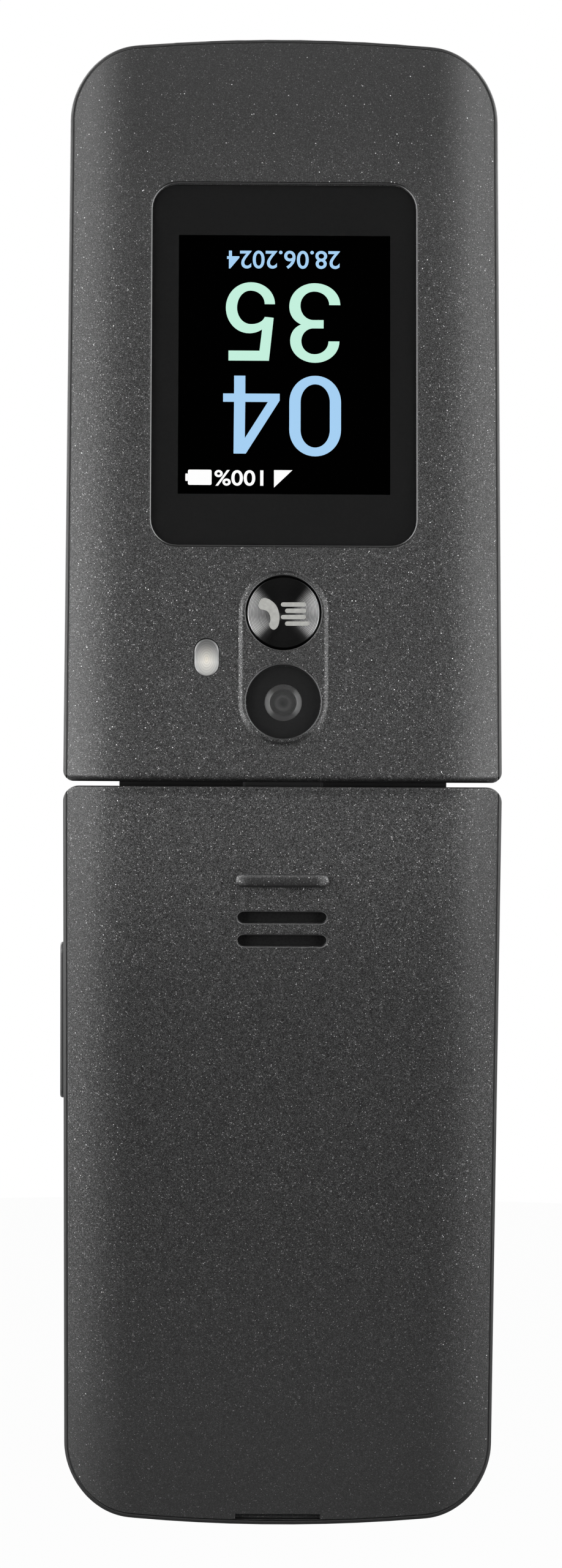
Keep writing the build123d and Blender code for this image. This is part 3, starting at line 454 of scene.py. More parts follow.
def mesh_cloth():
    """Fine black dust mesh."""
    n = material("mesh_cloth")
    cells = n.add("TexVoronoi", {"Vector": n.place(), "Scale": 1 / MESH_CELL}).outputs["Distance"]
    return n.surface(n.principled(
        Base_Color=n.ramp(cells, ((0.2, 0.012), (0.6, 0.016))), Roughness=0.7,
        Normal=n.bump(cells, 0.6, 0.06 * MM), Specular_IOR_Level=0.1,
    ))


def seal_rubber():
    """Soft dark rubber."""
    n = material("seal")
    shade = n.ramp(n.noise(RUBBER_GRAIN), ((0.3, 0.045), (0.7, 0.062)))
    return n.surface(n.principled(Base_Color=shade, Roughness=0.7, Specular_IOR_Level=0.3))


# ---- round things on the lid ----

RING_PITCH = 0.17 * MM
RING_WEAR = 0.4 * MM
FLASH_PITCH = 0.22 * MM
FLASH_PAINTED_CENTRE = (FLASH_AT[0], FLASH_AT[1] - 0.25)
FLASH_SQUASH = 0.62
FLASH_REACH = 1.7 * MM
LENS_GRAIN = 0.25 * MM
# Painted light on the flash lens: FLASH_FALL darkens it towards the top, FLASH_CORE brightens a
# warm core and a ring at its edge
FLASH_FALL = ((0.0, 0.36), (0.10, 0.50), (0.40, 0.62), (0.62, 0.40), (0.82, 0.20), (1.0, 0.13))
FLASH_CORE = (
    (0.0, (1.32, 1.24, 1.08)), (0.30, (1.15, 1.12, 1.04)), (0.75, (0.82, 0.82, 0.80)), (0.90, 0.72),
    (1.0, 1.15),
)
LENS_RINGS = (
    (0.00, 0.004), (0.10, 0.003), (0.18, 0.010), (0.26, 0.013), (0.31, 0.022), (0.36, 0.034),
    (0.40, 0.020), (0.47, 0.015), (0.58, 0.014), (0.70, 0.012), (0.745, 0.012), (0.85, 0.020),
    (0.93, 0.020), (1.00, 0.014),
)
# Painted highlight arcs on the barrel, by distance from the centre as a share of the barrel's
# radius
LENS_ARCS = ((0.70, 0.0), (0.74, 1.0), (0.79, 0.72), (0.94, 0.70), (1.0, 0.2))


def face_polar(n, centre, squash=1.0):
    """Across, up and distance from a point of the lid's face, in metres, along that face."""
    across, _, up = n.split(n.place(origin=centre, turn=(LEAN, 0, 0)))
    flat = n.add("CombineXYZ", {"X": across, "Y": n.product(up, squash)}).outputs[0]
    radius = n.add("VectorMath", {0: flat}, operation="LENGTH").outputs["Value"]
    return across, up, radius


def sideways(n, across, radius, low, high):
    """0 to 1 where a point lies left or right of the centre more than above or below it."""
    return n.span(n.size(n.math("DIVIDE", across, radius)), low, high, smooth=True)


def waves(n, radius, pitch):
    """0 to 1 and back for each pitch along the radius."""
    return n.spread(n.math("SINE", n.product(radius, 2 * math.pi / pitch)), 0.0, 1.0)


def spun_metal():
    """Black anodised disc, turned on a lathe: fine rings that fan light left and right, and bright
    sectors left and right of the centre painted in as highlights.
    """
    n = material("spun_metal")
    across, _, radius = face_polar(n, lid_point(0, QUICK_Y, SKIN))
    groove = waves(n, radius, RING_PITCH)
    uneven = n.add("TexNoise", {"W": n.product(radius, 1 / RING_WEAR), "Scale": 1.0, "Detail": 2.0},
                   noise_dimensions="1D").outputs["Fac"]
    # Painted highlight: sectors left and right of the centre, brighter out towards the rim and
    # broken by the rings
    fan = sideways(n, across, radius, 0.62, 0.86)
    bright = n.product(fan, n.span(radius, 1.2 * MM, 4.4 * MM))
    line = n.span(n.product(groove, uneven), 0.05, 0.5, 0.25, 1.0)
    shade = n.ramp(n.product(bright, line), ((0.0, 0.055), (1.0, 0.85)))
    around = n.add("Tangent", direction_type="RADIAL", axis="Y").outputs[0]
    return n.surface(n.principled(
        Base_Color=shade, Metallic=1.0, Roughness=0.42, Anisotropic=0.92,
        Anisotropic_Rotation=0.25, Tangent=around, Normal=n.bump(groove, 0.35, GRAIN_DEPTH),
    ))


def flash_milk():
    """Milky clear lens moulded with fine rings, with light painted in: darker towards its top, a
    warm bright core at its lower middle and a bright ring at its edge.
    """
    n = material("flash_milk")
    _, up, radius = face_polar(n, lid_point(*FLASH_PAINTED_CENTRE, SKIN), FLASH_SQUASH)
    wave = waves(n, radius, FLASH_PITCH)
    fall = n.ramp(n.span(up, -2.5 * MM, 2.8 * MM), FLASH_FALL)
    core = n.ramp(n.product(radius, 1 / FLASH_REACH), FLASH_CORE)
    # Painted light: the fall towards the top times the core
    milk = n.blend(1.0, fall, core, "MULTIPLY")
    return n.surface(n.principled(
        Base_Color=n.blend(n.spread(wave, 0.0, 0.18), milk, 0.2), Roughness=0.22,
        Normal=n.bump(wave, 0.5, 0.04 * MM), Coat_Weight=0.3, Coat_Roughness=0.08,
    ))


def coated_lens():
    """Camera: dark satin barrel with highlight arcs painted in left and right, and a dim coated
    lens.
    """
    n = material("coated_lens")
    across, _, radius = face_polar(n, lid_point(0, CAMERA_Y, SKIN))
    share = n.product(radius, 1 / (CAMERA_BARREL * MM))
    arcs = n.product(sideways(n, across, radius, 0.55, 0.95), n.ramp(share, LENS_ARCS))
    return n.surface(n.principled(
        Base_Color=n.blend(arcs, n.ramp(share, LENS_RINGS), 0.13), Roughness=0.6,
        Normal=n.bump(n.noise(LENS_GRAIN), 0.1, GRAIN_DEPTH), Specular_IOR_Level=0.0,
    ))


# ---- painted highlight lines on rims ----

RIM_SPECKLE = 0.15 * MM


def highlight_line(n, level, dull, bright):
    """Speckled painted highlight line that goes from dull to bright with level."""
    speckled = n.product(level, n.spread(n.noise(RIM_SPECKLE), 0.6, 1.3))
    shade = n.ramp(speckled, ((0.0, dull), (1.0, bright)))
    return n.surface(n.principled(Base_Color=shade, Roughness=0.4))


def rim_highlight(name, bright, low, high):
    """Painted highlight on the left and right runs of a rim, plain above and below."""
    n = material(name)
    side = n.span(n.size(n.split(n.coordinates())[0]), low * MM, high * MM, smooth=True)
    return highlight_line(n, side, 0.042, bright)


def slot_highlight(name, y):
    """Painted highlight at the ends of a speaker slot and along its foot."""
    n = material(name)
    across, _, rise = n.split(n.place(origin=base_point(0, y, SKIN)))
    end = n.span(n.size(across), 4.8 * MM, 5.7 * MM)
    foot = n.span(rise, 0.2 * MM, -0.6 * MM)
    level = n.math("MAXIMUM", n.product(foot, n.spread(end, 0.5, 1.0)), n.product(end, 0.45))
    return highlight_line(n, level, 0.030, 0.27)


# ---- outlines ----

# How far the control points of a quarter round stand off its ends, as a share of its sides
QUARTER = 0.56


def smooth_path(points, steps=14):
    """Outline through (x, y, bend). bend says how the run to that point goes: nothing for a
    straight line, "v" or "h" for a quarter round that sets off upright or level, or two
    control points."""
    line = []
    previous = points[-1][:2]
    for x, y, *bend in points:
        x0, y0 = previous
        if not bend:
            line.append((x, y))
        else:
            if bend[0] == "v":
                c1, c2 = (x0, y0 + QUARTER * (y - y0)), (x - QUARTER * (x - x0), y)
            elif bend[0] == "h":
                c1, c2 = (x0 + QUARTER * (x - x0), y0), (x, y - QUARTER * (y - y0))
            else:
                c1, c2 = bend[0]
            for i in range(1, steps + 1):
                t = i / steps
                a, b, c, d = (1 - t) ** 3, 3 * t * (1 - t) ** 2, 3 * t * t * (1 - t), t**3
                line.append((a * x0 + b * c1[0] + c * c2[0] + d * x,
                             a * y0 + b * c1[1] + c * c2[1] + d * y))
        previous = (x, y)
    return line


def through(points, steps=5):
    """Closed smooth outline through the points."""
    line = []
    count = len(points)
    for i in range(count):
        before, here, there, after = (Vector(points[(i + k) % count]) for k in (-1, 0, 1, 2))
        for j in range(steps):
            t = j / steps
            spot = here + 0.5 * t * (there - before
                                     + t * (2 * before - 5 * here + 4 * there - after
                                            + t * (3 * here - before - 3 * there + after)))
            line.append(tuple(spot))
    return line


def rounded(width, height, corner, centre=(0, 0)):
    x, y = width / 2, height / 2
    u, v = x - corner, y - corner
    points = [(-u, -y), (u, -y), (x, -v, "h"), (x, v), (u, y, "v"), (-u, y), (-x, v, "h"),
              (-x, -v), (-u, -y, "v")]
    return [(px + centre[0], py + centre[1]) for px, py in smooth_path(points, 8)]


def disc(radius, centre=(0, 0), steps=64):
    turn = [2 * math.pi * i / steps for i in range(steps)]
    return [(centre[0] + radius * math.cos(a), centre[1] + radius * math.sin(a)) for a in turn]


def edge_run(length, inset, start, corner_steps=24, arch_steps=12):
    """Plan line along one side, round the far end and back, drawn in from a half's edge."""
    middle = length - ARCH_RADIUS
    arch, corner = ARCH_RADIUS - inset, FAR_CORNER - inset
    y = length - FAR_CORNER
    for _ in range(5):
        x = HALF_WIDTH - SIDE_TAPER * y - inset - corner
        y = middle + math.sqrt((arch - corner) ** 2 - x**2)
    top = math.atan2(y - middle, x)
    run = [(HALF_WIDTH - SIDE_TAPER * v - inset, v) for v in (start, y / 2)]
    for i in range(corner_steps + 1):
        turn = top * i / corner_steps
        run.append((x + corner * math.cos(turn), y + corner * math.sin(turn)))
    for i in range(1, arch_steps + 1):
        turn = top + (math.pi / 2 - top) * i / arch_steps
        run.append((arch * math.cos(turn), middle + arch * math.sin(turn)))
    return run + [(-x, y) for x, y in reversed(run[:-1])]


# ---- meshes ----


def to_mesh(curve, thickness, matrix):
    """Fills and thickens a flat curve: its underside lies on the plane it is placed on."""
    curve.extrude = thickness / 2
    holder = bpy.data.objects.new("holder", curve)
    scene.collection.objects.link(holder)
    bpy.context.view_layer.update()
    graph = bpy.context.evaluated_depsgraph_get()
    mesh = bpy.data.meshes.new_from_object(holder.evaluated_get(graph))
    bpy.data.objects.remove(holder)
    bpy.data.curves.remove(curve)
    mesh.transform(matrix @ at(0, 0, thickness / 2))
    return mesh


def shape(outlines, thickness, matrix):
    curve = bpy.data.curves.new("shape", "CURVE")
    curve.dimensions = "2D"
    curve.fill_mode = "BOTH"
    for outline in outlines:
        spline = curve.splines.new("POLY")
        spline.points.add(len(outline) - 1)
        for point, (x, y) in zip(spline.points, outline):
            point.co = (x, y, 0, 1)
        spline.use_cyclic_u = True
    return to_mesh(curve, thickness, matrix)


def words(text, size, thickness, matrix, stretch=1.0, weight=0.0):
    curve = bpy.data.curves.new("words", "FONT")
    curve.body = text
    curve.size = size
    curve.offset = weight
    curve.align_x = "CENTER"
    curve.align_y = "CENTER"
    curve.resolution_u = 6
    curve.fill_mode = "BOTH"
    return to_mesh(curve, thickness, matrix @ Matrix.Diagonal((stretch, 1, 1, 1)))


def joined(meshes):
    """One mesh from several."""
    holders = []
    for mesh in meshes:
        holder = bpy.data.objects.new("part", mesh)
        scene.collection.objects.link(holder)
        holders.append(holder)
    with bpy.context.temp_override(active_object=holders[0], selected_editable_objects=holders):
        bpy.ops.object.join()
    mesh = holders[0].data
    bpy.data.objects.remove(holders[0])
    return mesh


def piece(name, mesh, body, finish):
    mesh.materials.clear()
    mesh.materials.append(finish)
    mesh.name = name
    made = bpy.data.objects.new(name, mesh)
    scene.collection.objects.link(made)
    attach(made, body)


# ---- clock on the outer display ----

DIGITS = {
    "0": [
        [(0, 3.17), (3.06, 0, "v"), (6.13, 3.17, "h"), (6.13, 6.45), (3.06, 9.62, "v"),
         (0, 6.45, "h")],
        [(1.33, 3.17), (3.06, 1.02, "v"), (4.79, 3.17, "h"), (4.79, 6.45), (3.06, 8.57, "v"),
         (1.33, 6.45, "h")],
    ],
    "3": [[
        (0, 2.62), (3.05, 0, "v"), (6.06, 2.8, "h"), (4.65, 4.95, ((6.06, 3.85), (5.5, 4.6))),
        (5.95, 6.95, ((5.45, 5.3), (5.95, 5.95))), (3.0, 9.54, "v"), (0.1, 6.97, "h"), (1.4, 6.97),
        (3.05, 8.52, "v"), (4.62, 6.95, "h"), (3.2, 5.42, "v"), (1.98, 5.42), (1.98, 4.42),
        (3.2, 4.42), (4.73, 2.7, "h"), (3.1, 1.0, "v"), (1.32, 2.62, "h"),
    ]],
    "4": [
        [(0, 2.13), (4.08, 2.13), (4.08, 0), (5.41, 0), (5.41, 2.13), (6.71, 2.13), (6.71, 3.13),
         (5.41, 3.13), (5.45, 9.3), (4.0, 9.3), (0, 2.95)],
        [(1.4, 3.13), (4.08, 3.13), (4.12, 7.45)],
    ],
    "5": [[
        (0, 2.62), (2.85, 0, "v"), (5.83, 3.05, "h"), (3.05, 6.12, "v"),
        (1.52, 5.65, ((2.5, 6.12), (1.95, 5.95))), (1.82, 8.2), (5.5, 8.2), (5.5, 9.4), (0.7, 9.4),
        (0.15, 4.25), (1.2, 4.14), (2.85, 5.02, ((1.45, 4.75), (2.1, 5.02))), (4.5, 3.05, "h"),
        (2.9, 1.0, "v"), (1.22, 2.62, "h"),
    ]],
}
DIGIT_UNIT = Matrix.Diagonal((1.113, 1.13, 1, 1))
HOURS = (("0", -7.53, 1.45), ("4", 0.56, 1.49))
MINUTES = (("3", -7.42, -11.09), ("5", 1.22, -11.17))
DATE = "28.06.2024"
DATE_AT = (0.1, -14.4)
PERCENT_AT = (5.62, 15.16)
# Width, height, corner radius and middle
BATTERY = (3.12, 2.05, 0.2, (11.06, 15.22))
BATTERY_NUB = (0.33, 1.0, 0.08, (12.79, 15.22))
SIGNAL = ((-1.14, 14.2), (1.29, 14.2), (1.29, 16.55))
LCD = (27.98, 35.0)
LCD_AT = (0.04, 54.66)
CLOCK_Y = 54.6
BORDER = (34.8, 48.74)
BORDER_CORNER = 3.3
INK_DEPTH = 0.02
LIT_DEPTH = 0.01
OVER_SCREEN = 0.012
INTO_GLASS = 0.03
MINT = (0.546, 0.863, 0.716)
BLUE = (0.376, 0.624, 0.888)
CLOCK_GLOW = 1.06
BORDER_INK = {"roughness": 0.6, "shine": 0.0}


def digits(face, places):
    return [shape([smooth_path(outline) for outline in DIGITS[digit]], LIT_DEPTH,
                  face @ at(u, v) @ DIGIT_UNIT) for digit, u, v in places]


def make_clock():
    """Printed border, black screen and lit clock, all against the underside of the glass."""
    under_glass = WINDOW_FACE - WINDOW_GLASS + INTO_GLASS
    layer = LID @ at(0, 0, under_glass)
    lcd = rounded(*LCD, 0.05, LCD_AT)
    border = shape([rounded(*BORDER, BORDER_CORNER, (0, WINDOW_Y)), lcd], INK_DEPTH, layer)
    ink = printed("border_ink", 0.010, **BORDER_INK)
    piece("window_border", border, "lid", ink)
    screen = shape([lcd], LIT_DEPTH, layer)
    piece("clock_screen", screen, "lid", lit("screen_black", 0.0))

    # The clock reads the other way up on the open phone.
    face = LID @ at(0, CLOCK_Y, under_glass + OVER_SCREEN) @ Matrix.Rotation(math.pi, 4, "Z")
    blue, mint = lit("clock_blue", BLUE, CLOCK_GLOW), lit("clock_mint", MINT, CLOCK_GLOW)
    date = words(DATE, 3.4, LIT_DEPTH, face @ at(*DATE_AT), 1.0, 0.035)
    piece("clock_blue_digits", joined([*digits(face, HOURS), date]), "lid", blue)
    piece("clock_mint_digits", joined(digits(face, MINUTES)), "lid", mint)
    outlines = (rounded(*BATTERY), rounded(*BATTERY_NUB), SIGNAL)
    parts = [shape([outline], LIT_DEPTH, face) for outline in outlines]
    parts.append(words("100%", 2.9, LIT_DEPTH, face @ at(*PERCENT_AT), 1.12, 0.045))
    piece("clock_status", joined(parts), "lid", lit("clock_white", 0.98, CLOCK_GLOW))


# ---- lines and seals on the outer side ----

LINE_DEPTH = 0.012
LINE_OVER = 0.001
SEAL_GAP = (0.015, 0.115)
SEAL_START = 0.1
SEAL_TOP = 0.07
SEAL_DEPTH = 0.5


def make_rims():
    """Thin lines on the rims of the slots, the round holes and the window, with painted highlights.
    """
    width, height = SLOT_LINE
    for i, y in enumerate(SLOT_YS):
        outer = rounded(width + 0.16, height + 0.16, height / 2 + 0.079, (0, y))
        inner = rounded(width, height, height / 2 - 0.001, (0, y))
        rim = shape([outer, inner], LINE_DEPTH, BASE @ at(0, 0, SKIN + LINE_OVER))
        piece(f"slot_rim_{i + 1}", rim, "cover", slot_highlight(f"slot_highlight_{i + 1}", y))

    lines = (
        ("key", QUICK_Y, disc(ROUND_HOLE + 0.12), disc(ROUND_HOLE + 0.03), PLATEAU + LINE_OVER,
         (0.16, 1.0, 4.5)),
        ("camera", CAMERA_Y, disc(ROUND_HOLE + 0.05), disc(ROUND_HOLE - 0.05), PLATEAU + LINE_OVER,
         (0.19, 1.0, 4.5)),
        ("window", WINDOW_Y, rounded(35.20, 49.12, 3.6), rounded(34.95, 48.89, 3.5), SKIN - 0.02,
         (0.30, 15.0, 17.2)),
    )
    for name, centre, outer, inner, z, look in lines:
        rim = shape([outer, inner], LINE_DEPTH, LID @ at(0, centre, z))
        piece(f"{name}_rim", rim, "lid", rim_highlight(f"{name}_line", *look))


def make_seals():
    """Soft dust seals that stand in the parting line round each cover."""
    rubber = seal_rubber()
    outer, inner = (RIM_BAND + gap for gap in SEAL_GAP)
    for name, half, length in (("base", BASE, BASE_LENGTH), ("lid", LID, LID_LENGTH)):
        outline = edge_run(length, outer, SEAL_START) + edge_run(length, inner, SEAL_START)[::-1]
        seal = shape([outline], SEAL_DEPTH, Matrix.Identity(4))
        for vertex in seal.vertices:
            out = max(0.0, abs(vertex.co.x) - CROWN_FLAT)
            fall = CROWN_RADIUS - math.sqrt(CROWN_RADIUS**2 - out**2)
            vertex.co.z += SKIN - fall - SEAL_TOP - SEAL_DEPTH
        seal.transform(half)
        piece(f"{name}_seal", seal, name, rubber)


# ---- marks on the round key and the camera's glass ----

HANDSET = (
    (-3.29, 0.93), (-3.15, 1.49), (-2.74, 1.90), (-2.20, 1.90), (-1.58, 1.57), (-1.03, 1.04),
    (-0.67, 0.30), (-0.52, -0.56), (-0.60, -1.42), (-0.85, -2.01), (-1.29, -2.28), (-1.69, -2.05),
    (-1.90, -1.57), (-1.73, -1.12), (-1.76, -0.45), (-2.05, 0.11), (-2.56, 0.34), (-3.04, 0.45),
)
# Left end, right end and height of each bar
MARK_BARS = ((-0.34, 2.97, 1.10), (0.20, 2.97, 0.27), (-0.34, 2.95, -0.58), (0.20, 3.42, -1.45))
MARK_GREY = (0.385, 0.385, 0.365)


def make_lid_marks():
    """Print round the camera, and the call mark on the round key."""
    annulus = shape([disc(4.85), disc(CAMERA_BARREL + 0.01)], INK_DEPTH,
                    LID @ at(0, CAMERA_Y, CAMERA_GLASS_LOW + INTO_GLASS))
    piece("camera_border", annulus, "lid",
          printed("camera_ink", 0.0135, **BORDER_INK))
    bars = [rounded(high - low, 0.57, 0.28, ((high + low) / 2, y)) for low, high, y in MARK_BARS]
    mark = shape([through(HANDSET), *bars], INK_DEPTH, Matrix.Identity(4))
    for vertex in mark.vertices:
        vertex.co.z += vertex.co.xy.length_squared / (2 * DISH_RADIUS)
    mark.transform(LID @ at(0, QUICK_Y, KEY_DISH + 0.015))
    piece("quick_key_mark", mark, "quick_button",
          printed("mark_grey", MARK_GREY, 0.5, 0.1))


# ---- keypad ----

LETTERS = {"1": "", "2": "abc", "3": "def", "4": "ghi", "5": "jkl", "6": "mno", "7": "pqrs",
           "8": "tuv", "9": "wxyz", "star": "", "0": "+", "hash": ""}
SIGNS = {"star": "*", "hash": "#"}
ROWS = (("1", "2", "3"), ("4", "5", "6"), ("7", "8", "9"), ("star", "0", "hash"))
HANDSET_ARC = (
    (-2.6, -0.5), (0, 1.3, "v"), (2.6, -0.5, "h"), (1.5, -0.9), (1.2, 0.1, "v"), (-1.2, 0.1),
    (-1.5, -0.9, "v"),
)
CALL_MARK_SCALE = 0.8
SOFT_DASH = (4.6, 0.6, 0.29)
DOT_RADIUS = 0.4
KEY_PRINT = 0.012
SIGN_SIZE = 5.2
LETTER_SIZE = 2.5
SIGN_SHIFT = -2.6
LETTER_SHIFT = 2.7


def keypad_face(x, y):
    """A place on the keypad, seen from inside the open phone with the hinge at the top."""
    return BASE @ at(x, y, KEY_FACE + 0.002) @ Matrix.Diagonal((1, -1, -1, 1))


def make_legends():
    white = printed("legend_white", (0.72, 0.73, 0.74), 0.4)
    green = printed("legend_green", (0.08, 0.50, 0.12), 0.4)
    red = printed("legend_red", (0.62, 0.05, 0.04), 0.4)
    for row, names in enumerate(ROWS):
        for column, name in enumerate(names):
            x, y = COLUMN_PITCH * (column - 1), FIRST_ROW + ROW_PITCH * row
            shift = SIGN_SHIFT if LETTERS[name] else 0.0
            sign = SIGNS.get(name, name)
            parts = [words(sign, SIGN_SIZE, KEY_PRINT, keypad_face(x + shift, y))]
            if LETTERS[name]:
                face = keypad_face(x + LETTER_SHIFT, y + 0.1)
                parts.append(words(LETTERS[name], LETTER_SIZE, KEY_PRINT, face))
            piece(f"legend_{name}", joined(parts), f"digit_{name}_button", white)
    for name, x, ink in (("send", -COLUMN_PITCH, green), ("end", COLUMN_PITCH, red)):
        scale = Matrix.Diagonal((CALL_MARK_SCALE, CALL_MARK_SCALE, 1, 1))
        matrix = keypad_face(x, CALL_ROW) @ scale
        mark = shape([smooth_path(HANDSET_ARC)], KEY_PRINT, matrix)
        piece(f"legend_{name}", mark, f"{name}_button", ink)
    back = words("C", 4.4, KEY_PRINT, keypad_face(0, CALL_ROW))
    piece("legend_clear", back, "clear_button", white)
    for side, name in ((-1, "left"), (1, "right")):
        matrix = keypad_face(side * SOFT_KEY_AT[0], SOFT_KEY_AT[1])
        dash = shape([rounded(*SOFT_DASH)], KEY_PRINT, matrix)
        piece(f"legend_soft_{name}", dash, f"soft_{name}_button", white)
    turns = (0, math.pi / 2, math.pi, -math.pi / 2)
    places = [(RING_DOTS * math.sin(a), RING_DOTS * math.cos(a)) for a in turns]
    dots = [disc(DOT_RADIUS, place, 24) for place in places]
    ring = shape(dots, KEY_PRINT, keypad_face(0, RING_Y))
    piece("legend_ring", ring, "nav_pad", white)


# ---- main display ----

SKY = ((0.0, (0.004, 0.010, 0.022)), (0.55, (0.012, 0.05, 0.10)), (1.0, (0.03, 0.13, 0.20)))


def wallpaper():
    """Plain dark sky that lightens towards the top."""
    n = material("wallpaper")
    up = n.split(n.place(origin=lid_point(0, MAIN_Y, MAIN_GLASS_LOW), turn=(LEAN, 0, 0)))[2]
    sky = n.ramp(n.span(up, -33.0 * MM, 33.0 * MM), SKY)
    return n.surface(n.principled(
        Base_Color=0.0, Roughness=0.6, Specular_IOR_Level=0.0, Emission_Color=sky,
        Emission_Strength=1.0,
    ))


def make_main_screen():
    """Lit main display behind its glass, with the time."""
    face = LID @ at(0, MAIN_Y, MAIN_GLASS_LOW - INK_DEPTH) @ Matrix.Diagonal((-1, 1, -1, 1))
    sky = wallpaper()
    lcd = rounded(*MAIN_LCD, 0.3)
    border = shape([rounded(*MAIN_GLASS, 2.9), lcd], INK_DEPTH, face)
    piece("main_border", border, "lid", printed("main_ink", 0.010, **BORDER_INK))
    piece("main_screen", shape([lcd], LIT_DEPTH, face), "lid", sky)
    time = words("04:35", 11.0, LIT_DEPTH, face @ at(0, 15.0, OVER_SCREEN))
    date = words(DATE, 3.2, LIT_DEPTH, face @ at(0, 7.0, OVER_SCREEN))
    piece("main_time", joined([time, date]), "lid", lit("time_white", 0.85))


# ---- materials on the CAD's own pieces ----


def dress_cad():
    keys = [name for name in nodes if name.startswith("key_")]
    keys += ["send_key", "clear_key", "end_key", "soft_key_left", "soft_key_right"]
    finishes = (
        (paint(), ("lid_cover", "back_cover")),
        (moulded("rim", 0.05, 0.42, metallic=0.2, painted_shade=0.6),
         ("base_frame", "volume_key", "hinge_caps")),
        (moulded("bezel", 0.04, 0.46, painted_shade=0.95), ("lid_frame", "keypad_bezel")),
        (moulded("keys", 0.022, 0.34), keys),
        (clear_glass(), ("cover_window", "main_window", "camera_window")),
        (metal("steel", (0.56, 0.56, 0.57), 0.34),
         ("card_reader", "vibration_motor", "microphone", "usb_connector", "base_screws",
          "hinge_shaft", "hinge_pin", "lid_screws", "hinge_can", "hinge_follower", "hinge_spring")),
        (metal("contacts", (0.80, 0.62, 0.28), 0.28),
         ("battery_contacts", "volume_switches", "quick_key_switch", "flash_led")),
        (moulded("inner_plastic", 0.03, 0.5),
         ("nav_rocker", "loudspeaker", "headphone_jack", "earpiece")),
        (moulded("display_body", 0.012, 0.3), ("cover_display", "main_display")),
        (spun_metal(), ("quick_key",)),
        (coated_lens(), ("camera_module",)),
        (flash_milk(), ("flash_lens",)),
        (moulded("key_metal", 0.30, 0.32, metallic=0.8), ("nav_ring", "ok_key")),
        (moulded("rubber", 0.018, 0.7), ("bumpers",)),
        (circuit(), ("main_board", "lid_board")),
        (moulded("battery_wrap", 0.07, 0.55), ("battery",)),
        (moulded("film", 0.30, 0.4, tint=(1.6, 0.9, 0.25)), ("dome_sheet", "hinge_flex")),
        (mesh_cloth(), ("speaker_mesh",)),
    )
    dressed = set()
    for finish, names in finishes:
        for name in names:
            mesh = nodes[name].data
            mesh.materials.clear()
            mesh.materials.append(finish)
            dressed.add(name)
    assert dressed == set(nodes), set(nodes) ^ dressed


# ---- studio ----

AIM = HINGE + Vector((0, -SKIN * MM, 0))
CAMERA_AZIMUTH = math.radians(-0.806)
CAMERA_RISE = math.radians(10.271)
CAMERA_ROLL = math.radians(0.426)
CAMERA_DISTANCE = 0.933
CAMERA_LEFT = 0.000255
CAMERA_UP = 0.001689
SENSOR_HEIGHT = 24.0
FOCAL_PIXELS = 11663
FRAME_HEIGHT = 2560
AMBIENT = 0.25
DIM = 0.02
DIM_MIRRORED = 0.01
FLOOR_RADIUS = 0.75
FLOOR_CENTRE = (0, 0.45)
FLOOR_DROP = 0.25
FLOOR_GREY = 0.35
FLOOR_WHITE = 0.975

# Place, size and power of each lamp; all aim at the hinge
LAMPS = {
    "left_top": ((-0.30, -0.15, 0.42), (0.25, 0.25), 0.64),
    "right_top": ((0.30, -0.15, 0.42), (0.25, 0.25), 0.67),
    "left_high": ((-0.40, -0.10, 0.24), (0.35, 0.30), 0.59),
    "right_high": ((0.40, -0.10, 0.24), (0.35, 0.30), 0.64),
    "left_mid": ((-0.40, -0.12, 0.12), (0.35, 0.20), 1.05),
    "right_mid": ((0.40, -0.12, 0.12), (0.35, 0.20), 0.58),
    "left_near": ((-0.15, -0.13, 0.10), (0.05, 0.05), 0.08),
    "right_near": ((0.15, -0.13, 0.10), (0.05, 0.05), 0.08),
    "front_high": ((0.0, -0.42, 0.78), (0.30, 0.15), 0.26),
    "left_back": ((-0.5, 0.7, 0.35), (0.5, 0.5), 3.0),
    "right_back": ((0.5, 0.7, 0.35), (0.5, 0.5), 3.0),
}


def make_camera():
    data = bpy.data.cameras.new("camera")
    data.sensor_fit = "VERTICAL"
    data.sensor_height = SENSOR_HEIGHT
    data.lens = SENSOR_HEIGHT * FOCAL_PIXELS / FRAME_HEIGHT
    data.clip_start = 0.01
    camera = bpy.data.objects.new("camera", data)
    scene.collection.objects.link(camera)
    turn = (Matrix.Rotation(CAMERA_AZIMUTH, 4, "Z")
            @ Matrix.Rotation(math.pi / 2 - CAMERA_RISE, 4, "X")
            @ Matrix.Rotation(CAMERA_ROLL, 4, "Z"))
    right, up, back = (turn.col[i].to_3d() for i in range(3))
    place = AIM + CAMERA_DISTANCE * back - CAMERA_LEFT * right + CAMERA_UP * up
    camera.matrix_world = Matrix.Translation(place) @ turn
    scene.camera = camera


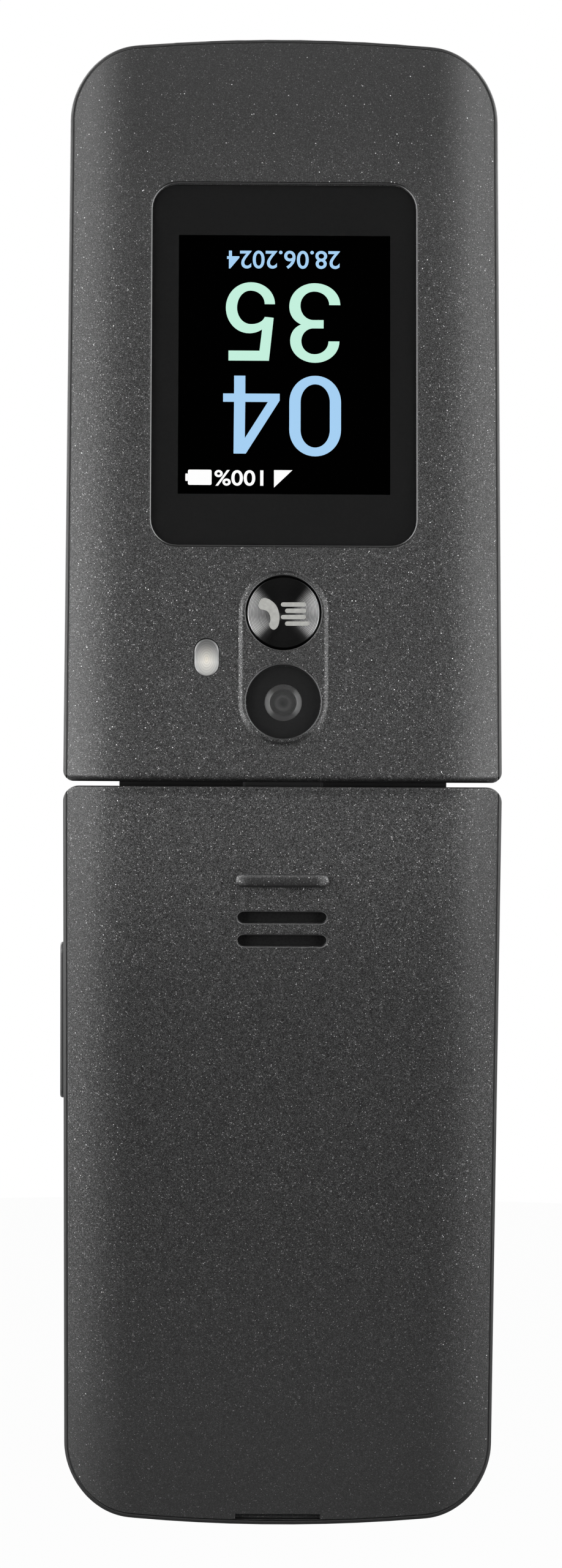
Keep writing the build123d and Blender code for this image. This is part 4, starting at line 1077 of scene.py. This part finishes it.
def make_lamp(name, place, size, power):
    data = bpy.data.lights.new(name, "AREA")
    data.shape = "RECTANGLE"
    data.size, data.size_y = size
    data.energy = power
    lamp = bpy.data.objects.new(name, data)
    scene.collection.objects.link(lamp)
    turn = (AIM - Vector(place)).to_track_quat("-Z", "Y").to_matrix().to_4x4()
    lamp.matrix_world = Matrix.Translation(place) @ turn


def make_world():
    """White to the eye; the room in front of the object is dim, as a studio's is."""
    world = bpy.data.worlds.new("studio")
    scene.world = world
    n = Nodes(world, "OutputWorld")
    path = n.add("LightPath").outputs
    _, behind, up = n.split(n.coordinates("Generated"))
    mirrored = n.span(behind, 0.05, 0.6, DIM_MIRRORED, 1.0)
    room = n.span(up, -0.25, 0.35, DIM, AMBIENT, smooth=True)
    unseen = n.blend_number(path["Is Glossy Ray"], room, mirrored)
    seen = n.math("MAXIMUM", path["Is Camera Ray"], path["Is Transmission Ray"])
    level = n.blend_number(seen, unseen, 1.0)
    n.surface(n.add("Background", {"Color": colour4(1.0), "Strength": level}).outputs[0])


def make_floor():
    """Pale round floor that keeps the object's shadow and shows white to the eye."""
    mesh = bpy.data.meshes.new("floor")
    rim = disc(FLOOR_RADIUS, FLOOR_CENTRE, 96)
    mesh.from_pydata([(x, y, -FLOOR_DROP) for x, y in rim], [], [list(range(len(rim)))])
    n = material("floor")
    path = n.add("LightPath").outputs
    behind = n.span(n.split(n.coordinates())[1], 0.0, 0.3)
    seen = n.math("MAXIMUM", path["Is Camera Ray"], n.product(path["Is Glossy Ray"], behind))
    matt = n.add("BsdfDiffuse", {"Color": colour4(FLOOR_GREY)}).outputs[0]
    white = n.add("Emission", {"Strength": 1.0}).outputs[0]
    share = n.spread(seen, 0.0, FLOOR_WHITE)
    mesh.materials.append(n.surface(n.add("MixShader", {0: share, 1: matt, 2: white}).outputs[0]))
    floor = bpy.data.objects.new("floor", mesh)
    scene.collection.objects.link(floor)


def make_studio():
    make_camera()
    make_world()
    make_floor()
    for name, settings in LAMPS.items():
        make_lamp(name, *settings)
    scene.view_settings.view_transform = "Standard"


dress_cad()
make_clock()
make_rims()
make_seals()
make_lid_marks()
make_legends()
make_main_screen()
make_studio()
